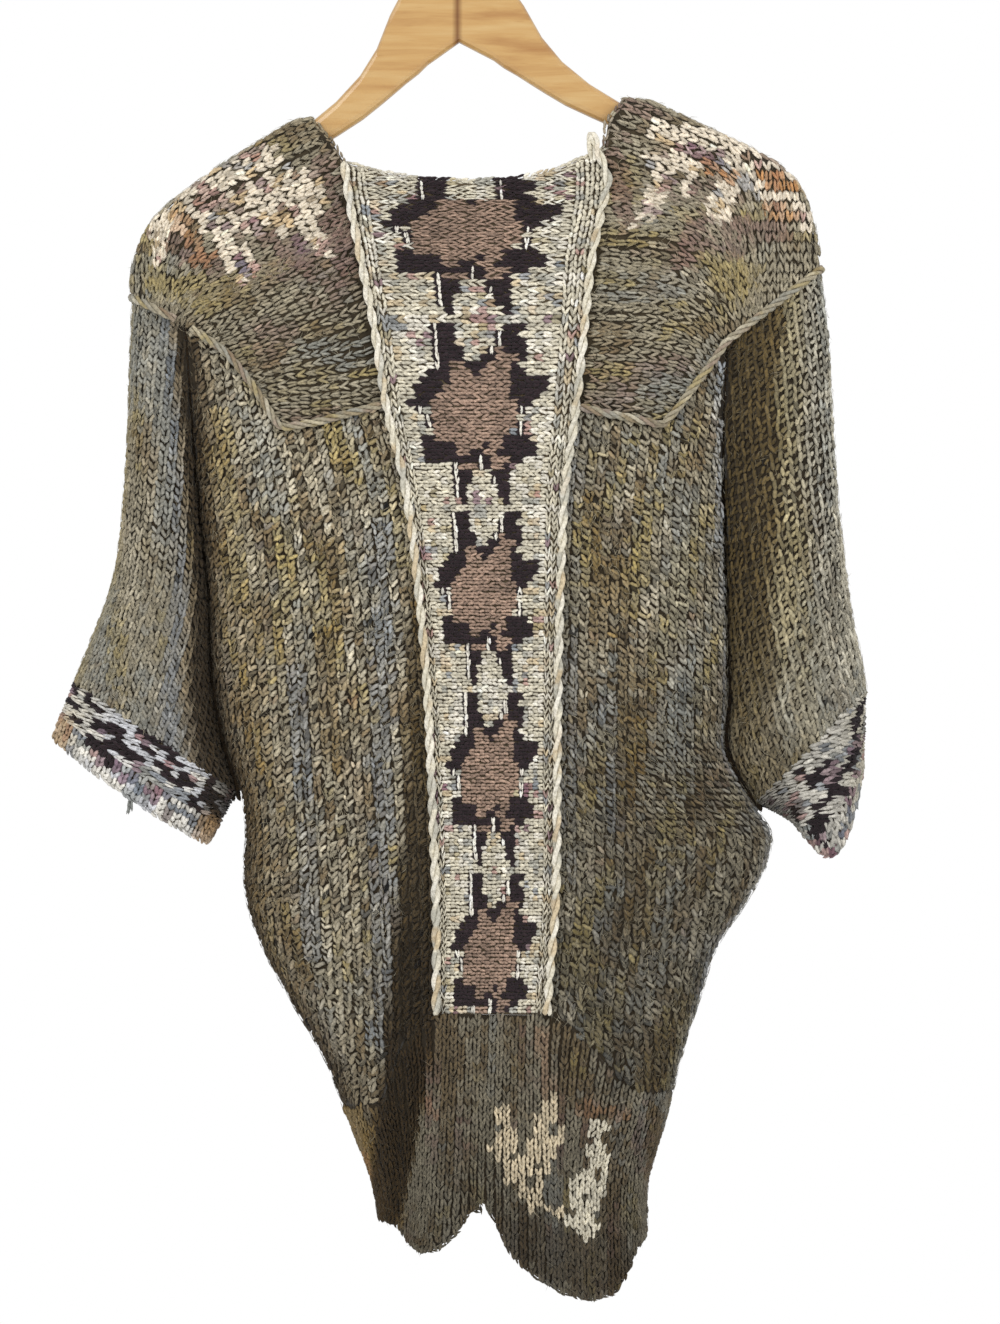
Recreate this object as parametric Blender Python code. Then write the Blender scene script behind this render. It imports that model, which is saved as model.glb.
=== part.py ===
"""A knitted kimono cardigan, hanging back to front on a wooden hanger.

The garment is cut and sewn from knitted pieces: a long centre back panel, two
back and two front body pieces, two shoulder yokes that wrap from the back to
the front, two wide short sleeves with cuffs, and a deep hem. Each piece is a
thin wall whose outer face is worked out from the tables below.

Axes: +X is right as the back is looked at, +Z up, and the back faces -Y.
The origin is the point inside the top of the hook where it hangs on a rail.
In the tables "across" is along X and "down" is the depth below the origin,
both in millimetres, as is every size that is not marked otherwise.
"""

import math
from collections import namedtuple

import bmesh
import bpy
import numpy as np
from mathutils import Vector

MM = 0.001
WALL = 3.0 * MM          # thickness of the knitted cloth
SEAM_INSET = 0.25        # each piece stops this short of the seam line
FREE_INWARD = (0.0, 0.0, 0.0)        # marks a place where the wall lies square to the face
MERGE_DISTANCE = 0.01 * MM
TINY = 0.001

LEFT, RIGHT = 0, 1
SIDE_SIGN = (-1.0, 1.0)
BACK, FRONT = -1.0, 1.0

# ---- the garment's flat measures ------------------------------------------

BODY_DEPTH = 36.0        # half the thickness of the hanging body, front to back
RIDGE_ROUND = 11.0       # radius of the cloth over the hanger's arms
DRAPE_LENGTH = 120.0     # how soon the cloth opens out below the shoulder
SIDE_ROUND = 34.0        # how far in the side of the body turns
TURN_SHARE = 0.35        # share of a body piece's columns used for that turn
WIDEST_TURN = 0.45       # of the width of a narrow piece
GapRow = namedtuple("GapRow", "down gap")
SLEEVE_GAPS = [          # between sleeve and body: sewn at the armhole, then hanging clear
    GapRow(345, 2.0),
    GapRow(400, 0.5),
    GapRow(530, 0.6),
    GapRow(600, 3.2),
]
NARROWEST_VALLEY = 0.3   # half gap where front and back meet below the underarm
SEWN_VALLEY = 15.0       # valleys deeper than this are sewn edge to edge

SideRow = namedtuple("SideRow", "down left right")
SIDE_LINES = [           # the body's side edges, and the armhole above them
    SideRow(300, -182, 197),
    SideRow(430, -175, 194),
    SideRow(519, -166, 196),
    SideRow(596, -160, 197),
    SideRow(632, -152, 196),
    SideRow(665, -142, 213),
    SideRow(692, -140, 228),
    SideRow(708, -141, 225),
    SideRow(736, -139, 211),
    SideRow(764, -130, 192),
    SideRow(806, -108, 177),
    SideRow(848, -84, 164),
    SideRow(890, -68, 154),
    SideRow(932, -52, 142),
    SideRow(975, -45, 141),
]
PANEL_LINES = [          # the long edges of the centre back panel
    SideRow(205, -72, 111),
    SideRow(240, -68, 111),
    SideRow(288, -59, 102),
    SideRow(334, -50, 97),
    SideRow(391, -41, 91),
    SideRow(442, -29, 84),
    SideRow(527, -18, 80),
    SideRow(656, -9, 78),
    SideRow(736, -6, 77),
    SideRow(813, -6, 71),
    SideRow(1010, -15, 74),
]
FRONT_EDGES = [          # the two free edges of the open front
    SideRow(188, -95, 126),
    SideRow(300, -72, 116),
    SideRow(389, -50, 105),
    SideRow(520, -8, 80),
    SideRow(650, 12, 67),
    SideRow(850, 22, 62),
    SideRow(975, 24, 62),
]
VALLEY_ROWS = [          # half depth left between sleeve and body at the armhole
    SideRow(300, 21, 21),
    SideRow(345, 19, 20),
    SideRow(380, 13, 14),
    SideRow(430, 8, 9),
    SideRow(480, 4, 5),
    SideRow(530, 1, 2),
    SideRow(560, 0, 0),
]

PointRow = namedtuple("PointRow", "across down")
SHOULDER_RIDGES = (      # the top of the shoulders, from the neck outwards
    [
        PointRow(-95, 188), PointRow(-106, 190), PointRow(-130, 204),
        PointRow(-153, 218), PointRow(-171, 231), PointRow(-192, 246),
        PointRow(-206, 260), PointRow(-214, 274), PointRow(-219, 290),
        PointRow(-221, 305),
    ],
    [
        PointRow(126, 174), PointRow(144, 176), PointRow(173, 190),
        PointRow(203, 204), PointRow(230, 218), PointRow(246, 232),
        PointRow(253, 246), PointRow(257, 260), PointRow(260, 273),
        PointRow(262, 284),
    ],
)
NECK_CORNERS = (         # from the shoulder ridge down the neck edge to the panel
    [PointRow(-95, 188), PointRow(-81, 203), PointRow(-71, 220)],
    [PointRow(126, 174), PointRow(114, 190), PointRow(111, 210)],
)
NECKLINE = [             # the panel's top edge
    PointRow(-71, 220), PointRow(-46, 227), PointRow(-18, 232), PointRow(17, 234),
    PointRow(52, 232), PointRow(80, 225), PointRow(111, 210),
]
YOKE_SEAM = [            # the stepped lower seam of both yokes
    PointRow(-181, 333), PointRow(-156, 360), PointRow(-138, 382),
    PointRow(-120, 406), PointRow(-89, 402), PointRow(-41, 389),
    PointRow(91, 391), PointRow(112, 396), PointRow(134, 400), PointRow(152, 404),
    PointRow(165, 391), PointRow(183, 365), PointRow(197, 344),
]
HEM_SEAM = [             # where the body pieces and the panel meet the hem
    PointRow(-80, 880), PointRow(-48, 876), PointRow(-35, 853), PointRow(-24, 832),
    PointRow(-6, 814), PointRow(71, 815), PointRow(85, 825), PointRow(100, 837),
    PointRow(120, 857), PointRow(140, 868), PointRow(162, 870),
]
HEM_EDGE = [             # the two uneven lobes of the back hem
    PointRow(-50, 957), PointRow(-34, 961), PointRow(-27, 974), PointRow(-18, 979),
    PointRow(-5, 977), PointRow(8, 967), PointRow(17, 953), PointRow(26, 944),
    PointRow(32, 955), PointRow(45, 980), PointRow(61, 996), PointRow(80, 1007),
    PointRow(101, 1012), PointRow(119, 1007), PointRow(128, 992),
    PointRow(134, 977), PointRow(141, 970),
]
HEM_FRONT_SEAM = 868.0
HEM_FRONT_EDGE = 955.0
ARMHOLE_TOP = 345.0      # the first reading of a body column's upper end starts here
SEAM_READINGS = 2
FLANK_REFERENCE = 850.0  # where a body column's across is read for its lower seam
HEM_REFERENCE = 955.0
NECK_REFERENCE = 232.0

SleeveRow = namedtuple("SleeveRow", "outer_across outer_down inner_down half_depth")
SLEEVES = (
    [
        SleeveRow(-219, 314, 333, 22),
        SleeveRow(-221, 360, 374, 25),
        SleeveRow(-222, 400, 418, 28),
        SleeveRow(-225, 450, 470, 31),
        SleeveRow(-230, 498, 524, 33),
        SleeveRow(-238, 528, 566, 34),
        SleeveRow(-249, 556, 610, 35),
        SleeveRow(-260, 583, 659, 35),
    ],
    [
        SleeveRow(262, 294, 344, 22),
        SleeveRow(268, 344, 382, 25),
        SleeveRow(271, 400, 430, 28),
        SleeveRow(275, 460, 490, 31),
        SleeveRow(280, 505, 542, 33),
        SleeveRow(285, 540, 590, 34),
        SleeveRow(291, 568, 632, 35),
        SleeveRow(294, 589, 667, 35),
    ],
)
CuffRow = namedtuple("CuffRow", "outer_across outer_down inner_across inner_down half_depth bow")
CUFF_ENDS = (
    CuffRow(-275, 621, -165, 695, 34, 4),
    CuffRow(292, 650, 245, 682, 30, 24),
)

# Folds of the back: a line from its top to its foot, how far it stands out
# (or in, below zero) at each end, and its half width.
FoldRow = namedtuple("FoldRow", "top_across top_down foot_across foot_down top_out foot_out width")
BACK_FOLDS = [
    FoldRow(-19, 640, -33, 975, -2, -19, 12.5),
    FoldRow(99, 520, 97, 820, 3, 5, 13),
    FoldRow(40, 850, 28, 950, 0, -12, 11),
    FoldRow(-6, 880, -6, 980, 2, 7, 16),
    FoldRow(84, 880, 88, 1010, 2, 8, 30),
    FoldRow(-128, 440, -112, 740, 3, 4, 20),
    FoldRow(-72, 430, -62, 720, -3, -3, 20),
    FoldRow(150, 440, 150, 760, 4, 3, 24),
    FoldRow(182, 430, 188, 640, -2, -4, 14),
    FoldRow(124, 760, 118, 870, -3, -4, 12),
]
FRONT_FOLDS = [
    FoldRow(-110, 440, -96, 780, 4, 4, 22),
    FoldRow(-60, 460, -40, 820, -3, -4, 20),
    FoldRow(140, 440, 138, 780, 4, 4, 22),
    FoldRow(108, 480, 100, 840, -3, -4, 18),
]
FOLD_FADE = 45.0         # length over which a fold starts and ends

# ---- columns and rows of the walls ------------------------------------------

FLANK_COLUMNS = 11
FLANK_ROWS = 16
PANEL_COLUMNS = 6
PANEL_ROWS = 26
SLEEVE_COLUMNS = 9       # on each face
SLEEVE_ROWS = 12
CUFF_ROWS = 3
YOKE_ROWS = 9            # on each face
YOKE_ROW_POWER = 2.2     # crowds the rows towards the ridge
YOKE_EDGE_POINTS = 8
HEM_ROWS = 7
HEM_FRONT_ROWS = 3

# ---- cords ---------------------------------------------------------------

PANEL_CORD_RADIUS = 3.4
YOKE_CORD_RADIUS = 3.0
CORD_LIFT = 0.8          # clear space between a cord and the cloth under it
CORD_ROUNDING = 1        # bevel resolution

# ---- hanger ----------------------------------------------------------------

HangerRow = namedtuple("HangerRow", "across upper lower")
HANGER_ARM = [           # one arm, level, from the centre out
    HangerRow(0, 60, 136),
    HangerRow(18, 60.5, 147),
    HangerRow(23, 68, 150),
    HangerRow(30, 84, 156),
    HangerRow(39, 100, 162),
    HangerRow(47, 113, 168),
    HangerRow(58, 136, 176),
    HangerRow(71, 154, 185),
    HangerRow(89, 171, 195),
    HangerRow(110, 186, 206),
    HangerRow(144, 199.5, 222),
    HangerRow(168, 212, 234),
    HangerRow(188, 225, 246),
    HangerRow(206, 237, 255),
    HangerRow(213, 242, 255),
    HangerRow(216, 246, 252),
]
HANGER_HALF_THICKNESS = 6.0
HANGER_TILT = math.radians(4.0)      # the right arm hangs higher
HANGER_CORNERS = 4       # points along each rounded corner of its section
HANGER_CORNER_RADIUS = 5.8
HANGER_TIP_ROUNDING = 0.98           # of the half height, where the arm is thin

HOOK_WIRE_RADIUS = 1.9
HOOK_INNER_RADIUS = 20.0
HOOK_START = math.radians(205)
HOOK_END = math.radians(-52)
HOOK_POINTS = 30
HOOK_ROUNDING = 2        # bevel resolution
HOOK_BEND_ACROSS = 2.5   # a point in the bend above the stem
HOOK_BEND_RISE = 4.0
HOOK_STEM_TOP = 48.0     # where the stem is upright again
HOOK_STEM_FOOT = 59.7    # it stands on the hanger's neck

MaterialRow = namedtuple("MaterialRow", "red green blue roughness metallic")
MATERIALS = {
    "beech_wood": MaterialRow(0.80, 0.60, 0.35, 0.35, 0.0),
    "plated_steel": MaterialRow(0.75, 0.75, 0.76, 0.25, 1.0),
    "cream_knit": MaterialRow(0.66, 0.60, 0.52, 0.95, 0.0),
    "taupe_knit": MaterialRow(0.25, 0.22, 0.17, 0.95, 0.0),
    "yoke_knit": MaterialRow(0.31, 0.26, 0.22, 0.95, 0.0),
    "cuff_knit": MaterialRow(0.52, 0.46, 0.47, 0.95, 0.0),
    "hem_knit": MaterialRow(0.20, 0.17, 0.14, 0.95, 0.0),
    "cream_cord": MaterialRow(0.70, 0.63, 0.54, 0.95, 0.0),
    "olive_cord": MaterialRow(0.33, 0.30, 0.24, 0.95, 0.0),
}


# ---- lines and surfaces ------------------------------------------------------

def smooth_line(stations, values):
    """A smooth curve through the rows of a table, as a function."""
    stations = np.array(stations, dtype=float)
    values = np.array(values, dtype=float)
    slopes = np.gradient(values, stations)

    def at(place):
        place = min(max(place, stations[0]), stations[-1])
        i = min(int(np.searchsorted(stations, place, side="right")) - 1, len(stations) - 2)
        span = stations[i + 1] - stations[i]
        t = (place - stations[i]) / span
        rise = (1 + 2 * t) * (1 - t) ** 2 * values[i] + t * t * (3 - 2 * t) * values[i + 1]
        lean = t * (1 - t) ** 2 * slopes[i] - t * t * (1 - t) * slopes[i + 1]
        return rise + span * lean

    return at


def side_pair(rows):
    downs = [row.down for row in rows]
    return (
        smooth_line(downs, [row.left for row in rows]),
        smooth_line(downs, [row.right for row in rows]),
    )


side_line = side_pair(SIDE_LINES)
panel_line = side_pair(PANEL_LINES)
front_edge = side_pair(FRONT_EDGES)


def row_line(rows):
    """The straight-line reading of a table of points, down as a function of across."""
    across = [row.across for row in rows]
    down = [row.down for row in rows]
    return lambda place: float(np.interp(place, across, down))


neckline = row_line(NECKLINE)
yoke_seam = row_line(YOKE_SEAM)
hem_seam = row_line(HEM_SEAM)
hem_edge = row_line(HEM_EDGE)


def valley_depth(side, down):
    downs = [row.down for row in VALLEY_ROWS]
    depths = [row[1 + side] for row in VALLEY_ROWS]
    return max(float(np.interp(down, downs, depths)), NARROWEST_VALLEY)


def mix(a, b, share):
    return a + (b - a) * share


def ridge_distance(across, down):
    """How far a place on the flat outline lies from the nearer shoulder ridge."""
    nearest = math.inf
    here = np.array((across, down), dtype=float)
    for ridge in SHOULDER_RIDGES:
        points = np.array(ridge, dtype=float)
        for start, end in zip(points[:-1], points[1:]):
            run = end - start
            share = np.clip(np.dot(here - start, run) / np.dot(run, run), 0.0, 1.0)
            nearest = min(nearest, float(np.linalg.norm(here - start - run * share)))
    return nearest


def half_depth(across, down):
    """Half the thickness of the hanging cloth, rounded over the hanger's arm."""
    away = ridge_distance(across, down)
    turn = 1.0 - min(away / RIDGE_ROUND, 1.0)
    opened = 1.0 - math.exp(-max(away - RIDGE_ROUND / 2, 0.0) / DRAPE_LENGTH)
    return RIDGE_ROUND * math.sqrt(1.0 - turn * turn) + (BODY_DEPTH - RIDGE_ROUND) * opened


def fold_out(face, across, down):
    """How far the folds of one face stand out at a place."""
    total = 0.0
    for fold in BACK_FOLDS if face == BACK else FRONT_FOLDS:
        share = (down - fold.top_down) / (fold.foot_down - fold.top_down)
        beyond = max(fold.top_down - down, down - fold.foot_down, 0.0) / FOLD_FADE
        if beyond >= 1.0:
            continue
        share = min(max(share, 0.0), 1.0)
        centre = mix(fold.top_across, fold.foot_across, share)
        height = mix(fold.top_out, fold.foot_out, share) * (1.0 - beyond) ** 2 * (1.0 + 2.0 * beyond)
        total += height * math.exp(-(((across - centre) / fold.width) ** 2))
    return total


def spot(place, inward):
    """A place on the outer face, and the direction in which the wall lies behind it."""
    inward = np.array(inward, dtype=float)
    return np.concatenate((place, inward / np.linalg.norm(inward)))


def sewn_inward(inward, face, side, down, nearness):
    """Where sleeve and body are sewn together, both walls lie straight behind the seam."""
    sewn = min(valley_depth(side, down) / SEWN_VALLEY, 1.0) * max(nearness, 0.0)
    return mix(np.array(inward), np.array((0.0, -face, 0.0)), sewn)


def flank_point(side, face, share, down):
    """A body piece: share 0 is its side edge, 1 its panel or front edge."""
    sign = SIDE_SIGN[side]
    edge = side_line[side](down)
    inner = (panel_line if face == BACK else front_edge)[side](down)
    width = abs(inner - edge)
    turn = min(SIDE_ROUND, WIDEST_TURN * width)
    start = math.asin(min(valley_depth(side, down) / half_depth(edge, down), 1.0))
    turned = turn * math.cos(start)
    if share < TURN_SHARE:
        angle = mix(start, math.pi / 2, share / TURN_SHARE)
        reach = turned - turn * math.cos(angle)
        lift = math.sin(angle)
    else:
        reach = mix(turned, width, (share - TURN_SHARE) / (1.0 - TURN_SHARE))
        lift = 1.0
        angle = math.pi / 2
    across = edge - sign * reach
    out = (half_depth(across, down) + fold_out(face, across, down)) * lift
    inward = (-sign * math.cos(angle), -face * math.sin(angle), 0.0)
    inward = sewn_inward(inward, face, side, down, 1.0 - share / TURN_SHARE)
    return spot((across, face * out, down), inward)


def panel_point(share, down):
    across = mix(panel_line[LEFT](down), panel_line[RIGHT](down), share)
    out = half_depth(across, down) + fold_out(BACK, across, down)
    return spot((across, BACK * out, down), (0.0, -BACK, 0.0))


def sleeve_section(side, share):
    """The sleeve's slanted section: its outer and inner ends, depth and half turn."""
    rows = SLEEVES[side]
    stations = np.linspace(0.0, 1.0, len(rows))
    columns = [smooth_line(stations, [row[i] for row in rows])(share) for i in range(4)]
    outer_across, outer_down, inner_down, depth = columns
    gap = np.interp(inner_down, [row.down for row in SLEEVE_GAPS], [row.gap for row in SLEEVE_GAPS])
    inner_across = side_line[side](inner_down) + SIDE_SIGN[side] * gap
    half_turn = math.pi - math.asin(min(valley_depth(side, inner_down) / depth, 1.0))
    return (outer_across, outer_down), (inner_across, inner_down), depth, half_turn


def sleeve_point(side, turn, share):
    """Turn runs from -1 on the front of the armhole, round the outside, to 1 on its back."""
    outer, inner, depth, half_turn = sleeve_section(side, share)
    angle = turn * half_turn
    along = (1.0 - math.cos(angle)) / (1.0 - math.cos(half_turn))
    place = (
        mix(outer[0], inner[0], along),
        -depth * math.sin(angle),
        mix(outer[1], inner[1], along),
    )
    inward = tube_inward(outer, inner, angle)
    face = BACK if turn > 0.0 else FRONT
    return spot(place, sewn_inward(inward, face, side, inner[1], 1.0 - (1.0 - abs(turn)) / TURN_SHARE))


def tube_inward(outer, inner, angle):
    """Towards the middle of a slanted tube."""
    length = math.dist(outer, inner)
    lean = math.cos(angle) / length
    return ((inner[0] - outer[0]) * lean, math.sin(angle), (inner[1] - outer[1]) * lean)


def cuff_point(side, turn, share):
    """The cuff goes on from the sleeve's last section to its own free edge."""
    outer, inner, depth, _ = sleeve_section(side, 1.0)
    end = CUFF_ENDS[side]
    angle = turn * math.pi
    along = (1.0 - math.cos(angle)) / 2.0
    bow = end.bow * share * math.sin(angle) ** 2
    place = (
        mix(mix(outer[0], inner[0], along), mix(end.outer_across, end.inner_across, along), share),
        -mix(depth, end.half_depth, share) * math.sin(angle),
        mix(mix(outer[1], inner[1], along), mix(end.outer_down, end.inner_down, along), share) + bow,
    )
    return spot(place, tube_inward(outer, inner, angle))


# ---- grids of points, one for each knitted piece -----------------------------

def flank_shares():
    return [j / FLANK_COLUMNS for j in range(FLANK_COLUMNS + 1)]


def flank_top(side, face, share):
    down = yoke_seam(side_line[side](ARMHOLE_TOP))
    for _ in range(SEAM_READINGS):
        down = yoke_seam(flank_point(side, face, share, down)[0])
    return down


def flank_foot(side, face, share):
    if face == FRONT:
        return HEM_FRONT_SEAM
    return hem_seam(flank_point(side, face, share, FLANK_REFERENCE)[0])


def flank_grid(side, face):
    grid = []
    for share in flank_shares():
        top = flank_top(side, face, share)
        foot = flank_foot(side, face, share)
        grid.append([
            flank_point(side, face, share, mix(top, foot, i / FLANK_ROWS))
            for i in range(FLANK_ROWS + 1)
        ])
    return np.array(grid)


def panel_grid():
    grid = []
    for j in range(PANEL_COLUMNS + 1):
        share = j / PANEL_COLUMNS
        top = neckline(panel_point(share, NECK_REFERENCE)[0])
        foot = hem_seam(panel_point(share, FLANK_REFERENCE)[0])
        grid.append([panel_point(share, mix(top, foot, i / PANEL_ROWS)) for i in range(PANEL_ROWS + 1)])
    return np.array(grid)


def sleeve_grid(side):
    turns = np.linspace(-1.0, 1.0, 2 * SLEEVE_COLUMNS + 1)
    return np.array([
        [sleeve_point(side, turn, i / SLEEVE_ROWS) for i in range(SLEEVE_ROWS + 1)]
        for turn in turns
    ])


def cuff_grid(side):
    turns = np.linspace(-1.0, 1.0, 2 * SLEEVE_COLUMNS, endpoint=False)
    return np.array([
        [cuff_point(side, turn, i / CUFF_ROWS) for i in range(CUFF_ROWS + 1)]
        for turn in turns
    ])


def walk(points, share):
    """The place at a share of the length of a line of points."""
    points = np.array(points, dtype=float)
    steps = np.linalg.norm(np.diff(points, axis=0), axis=1)
    travelled = np.concatenate(([0.0], np.cumsum(steps)))
    place = share * travelled[-1]
    return np.array([np.interp(place, travelled, points[:, i]) for i in range(points.shape[1])])


def yoke_seam_points(side, face):
    """The yoke's lower edge, from the panel or front edge out to the end of the shoulder."""
    body = [
        flank_point(side, face, share, flank_top(side, face, share))
        for share in reversed(flank_shares())
    ]
    sleeve = [
        sleeve_point(side, -face * (1.0 - i / SLEEVE_COLUMNS), 0.0)
        for i in range(1, SLEEVE_COLUMNS + 1)
    ]
    return np.array(body + sleeve)


def yoke_edge(side, face):
    """The yoke's edge along the neck and the panel, or down the open front."""
    lines = panel_line if face == BACK else front_edge
    if face == BACK:
        corner = NECK_CORNERS[side]
    else:
        corner = [SHOULDER_RIDGES[side][0]]
    last_down = flank_top(side, face, 1.0)
    downs = np.linspace(corner[-1].down, last_down, YOKE_EDGE_POINTS)[1:]
    return [tuple(point) for point in corner] + [(lines[side](down), down) for down in downs]


def yoke_face(side, face):
    """One face of the yoke, as columns of points from the ridge down to the seam."""
    seam = yoke_seam_points(side, face)
    edge = yoke_edge(side, face)
    steps = np.linalg.norm(np.diff(seam[:, :3], axis=0), axis=1)
    shares = np.concatenate(([0.0], np.cumsum(steps))) / steps.sum()
    ridge_neck = walk(SHOULDER_RIDGES[side], 0.0)
    columns = []
    for k, low in zip(shares, seam):
        top = walk(SHOULDER_RIDGES[side], k)
        low_ratio = abs(low[1]) / half_depth(low[0], low[2])
        column = []
        for i in range(YOKE_ROWS + 1):
            t = (i / YOKE_ROWS) ** YOKE_ROW_POWER
            straight = mix(top, low[[0, 2]], t)
            bend = walk(edge, t) - mix(ridge_neck, seam[0][[0, 2]], t)
            across, down = straight + (1.0 - k) * bend
            out = 0.0
            if i > 0:
                out = half_depth(across, down) * mix(1.0, low_ratio, t ** (2.0 * (1.0 - k)))
            column.append((across, face * out, down, *FREE_INWARD))
        column[-1] = low
        columns.append(column)
    columns = np.array(columns)
    along_panel = columns[0, :, 2] > NECK_CORNERS[side][-1].down
    columns[0, along_panel, 3:] = (0.0, -face, 0.0)
    return columns


def yoke_grid(side):
    back = yoke_face(side, BACK)[:, ::-1]
    front = yoke_face(side, FRONT)[:, 1:]
    return np.concatenate((back, front), axis=1)


def hem_back_grid():
    """The hem takes its columns from the pieces above it, left to right."""
    columns = [(LEFT, share) for share in flank_shares()]
    columns += [(None, j / PANEL_COLUMNS) for j in range(1, PANEL_COLUMNS)]
    columns += [(RIGHT, share) for share in reversed(flank_shares())]

    def point(side, share, down):
        if side is None:
            return panel_point(share, down)
        return flank_point(side, BACK, share, down)

    grid = []
    for side, share in columns:
        top = hem_seam(point(side, share, FLANK_REFERENCE)[0])
        foot = hem_edge(point(side, share, HEM_REFERENCE)[0])
        grid.append([point(side, share, mix(top, foot, i / HEM_ROWS)) for i in range(HEM_ROWS + 1)])
    return np.array(grid)


def hem_front_grid(side):
    return np.array([
        [
            flank_point(side, FRONT, share, mix(HEM_FRONT_SEAM, HEM_FRONT_EDGE, i / HEM_FRONT_ROWS))
            for i in range(HEM_FRONT_ROWS + 1)
        ]
        for share in flank_shares()
    ])


def inset(grid, sides=True):
    """Draw a piece's edges in from its seam lines, by the same distance all along."""
    grid = grid.copy()
    place = grid[..., :3]

    def pull(edge, inner):
        run = inner - edge
        along = np.gradient(edge, axis=0)
        along /= np.maximum(np.linalg.norm(along, axis=-1, keepdims=True), TINY)
        square = run - along * np.sum(run * along, axis=-1, keepdims=True)
        length = np.linalg.norm(square, axis=-1, keepdims=True)
        return edge + run * np.minimum(SEAM_INSET / np.maximum(length, SEAM_INSET), 0.5)

    place[:, 0], place[:, -1] = pull(place[:, 0], place[:, 1]), pull(place[:, -1], place[:, -2])
    if sides:
        place[0], place[-1] = pull(place[0], place[1]), pull(place[-1], place[-2])
    return grid


# ---- objects -------------------------------------------------------------

def remove_everything():
    for thing in list(bpy.data.objects):
        bpy.data.objects.remove(thing, do_unlink=True)


def finish_material(name):
    material = bpy.data.materials.get(name)
    if material is None:
        row = MATERIALS[name]
        material = bpy.data.materials.new(name)
        material.use_nodes = True
        shader = material.node_tree.nodes["Principled BSDF"]
        shader.inputs["Base Color"].default_value = (row.red, row.green, row.blue, 1.0)
        shader.inputs["Roughness"].default_value = row.roughness
        shader.inputs["Metallic"].default_value = row.metallic
    return material


def to_metres(point):
    across, out, down = point
    return (across * MM, out * MM, -down * MM)


def link(name, data, material):
    thing = bpy.data.objects.new(name, data)
    thing.data.materials.append(finish_material(material))
    bpy.context.scene.collection.objects.link(thing)
    return thing


def cloth(name, grid, material, ring=False, folded=False, outward=1):
    """A knitted wall: the grid is its outer face, and the wall lies behind it."""
    mesh = bpy.data.meshes.new(name)
    shape = bmesh.new()
    verts = [[shape.verts.new(to_metres(point[:3])) for point in column] for column in grid]
    inward = {vert: point[3:] for line, column in zip(verts, grid) for vert, point in zip(line, column)}
    if folded:                       # the last column closes on itself
        last = verts[-1]
        for i in range(len(last) // 2):
            shape.verts.remove(last[-1 - i])
            last[-1 - i] = last[i]
    pairs = list(zip(verts[:-1], verts[1:]))
    if ring:
        pairs.append((verts[-1], verts[0]))
    for near, far in pairs:
        for i in range(len(near) - 1):
            corners = (near[i], near[i + 1], far[i + 1], far[i])
            shape.faces.new(corners if outward > 0 else corners[::-1])
    shape.normal_update()
    outer_faces = list(shape.faces)
    rim = [edge for edge in shape.edges if edge.is_boundary]
    behind = {}
    for vert in list(shape.verts):
        across, out, down = inward[vert]
        step = Vector((across, out, -down))
        if step.length == 0.0:
            step = -vert.normal
        behind[vert] = shape.verts.new(vert.co + step.normalized() * WALL)
    for edge in rim:
        loop = edge.link_loops[0]
        start, end = loop.vert, loop.link_loop_next.vert
        shape.faces.new((end, start, behind[start], behind[end]))
    for face in outer_faces:
        shape.faces.new([behind[vert] for vert in reversed(face.verts)])
    for face in shape.faces:
        face.smooth = True
    shape.to_mesh(mesh)
    shape.free()
    return link(name, mesh, material)


def cord(name, points, radius, material, rounding=CORD_ROUNDING):
    """A raised cord that follows a line of points."""
    curve = bpy.data.curves.new(name, "CURVE")
    curve.dimensions = "3D"
    curve.bevel_depth = radius * MM
    curve.bevel_resolution = rounding
    curve.use_fill_caps = True
    spline = curve.splines.new("POLY")
    spline.points.add(len(points) - 1)
    for knot, point in zip(spline.points, points):
        knot.co = (*to_metres(point), 1.0)
    return link(name, curve, material)


def panel_cord(name, side):
    """Lies over the long seam of the panel, from the neck to the hem."""
    lift = BACK * (PANEL_CORD_RADIUS + CORD_LIFT)
    share = float(side)
    top = neckline(panel_line[side](NECK_CORNERS[side][-1].down))
    foot = hem_seam(panel_point(share, FLANK_REFERENCE)[0])
    points = []
    for i in range(PANEL_ROWS + 1):
        point = panel_point(share, mix(top, foot, i / PANEL_ROWS))
        points.append(point[:3] + np.array((0.0, lift, 0.0)))
    return cord(name, points, PANEL_CORD_RADIUS, "cream_cord")


def yoke_cord(name, side):
    """Lies over the yoke's lower seam, from the panel round to the open front."""
    lift = YOKE_CORD_RADIUS + CORD_LIFT
    points = []
    for face in (BACK, FRONT):
        line = [point[:3] - point[3:] * lift for point in yoke_seam_points(side, face)]
        points += line[1:-1] if face == BACK else line[::-1]
    return cord(name, points, YOKE_CORD_RADIUS, "olive_cord")


def tilted(across, out, down):
    """The hanger leans about the point that it hangs from."""
    sine, cosine = math.sin(HANGER_TILT), math.cos(HANGER_TILT)
    return (across * cosine + down * sine, out, down * cosine - across * sine)


def hanger_section(row, sign):
    """A rounded upright section through the arm."""
    middle = (row.upper + row.lower) / 2
    half_height = (row.lower - row.upper) / 2
    radius = min(HANGER_CORNER_RADIUS, half_height * HANGER_TIP_ROUNDING)
    ring = []
    for corner in range(4):
        start = corner * math.pi / 2
        side_out = 1.0 if corner in (0, 3) else -1.0
        side_down = 1.0 if corner in (0, 1) else -1.0
        centre_out = side_out * (HANGER_HALF_THICKNESS - radius)
        centre_down = side_down * (half_height - radius)
        for i in range(HANGER_CORNERS):
            angle = start + (math.pi / 2) * i / (HANGER_CORNERS - 1)
            ring.append(tilted(
                sign * row.across,
                centre_out + radius * math.cos(angle),
                middle + centre_down + radius * math.sin(angle),
            ))
    return ring


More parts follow.
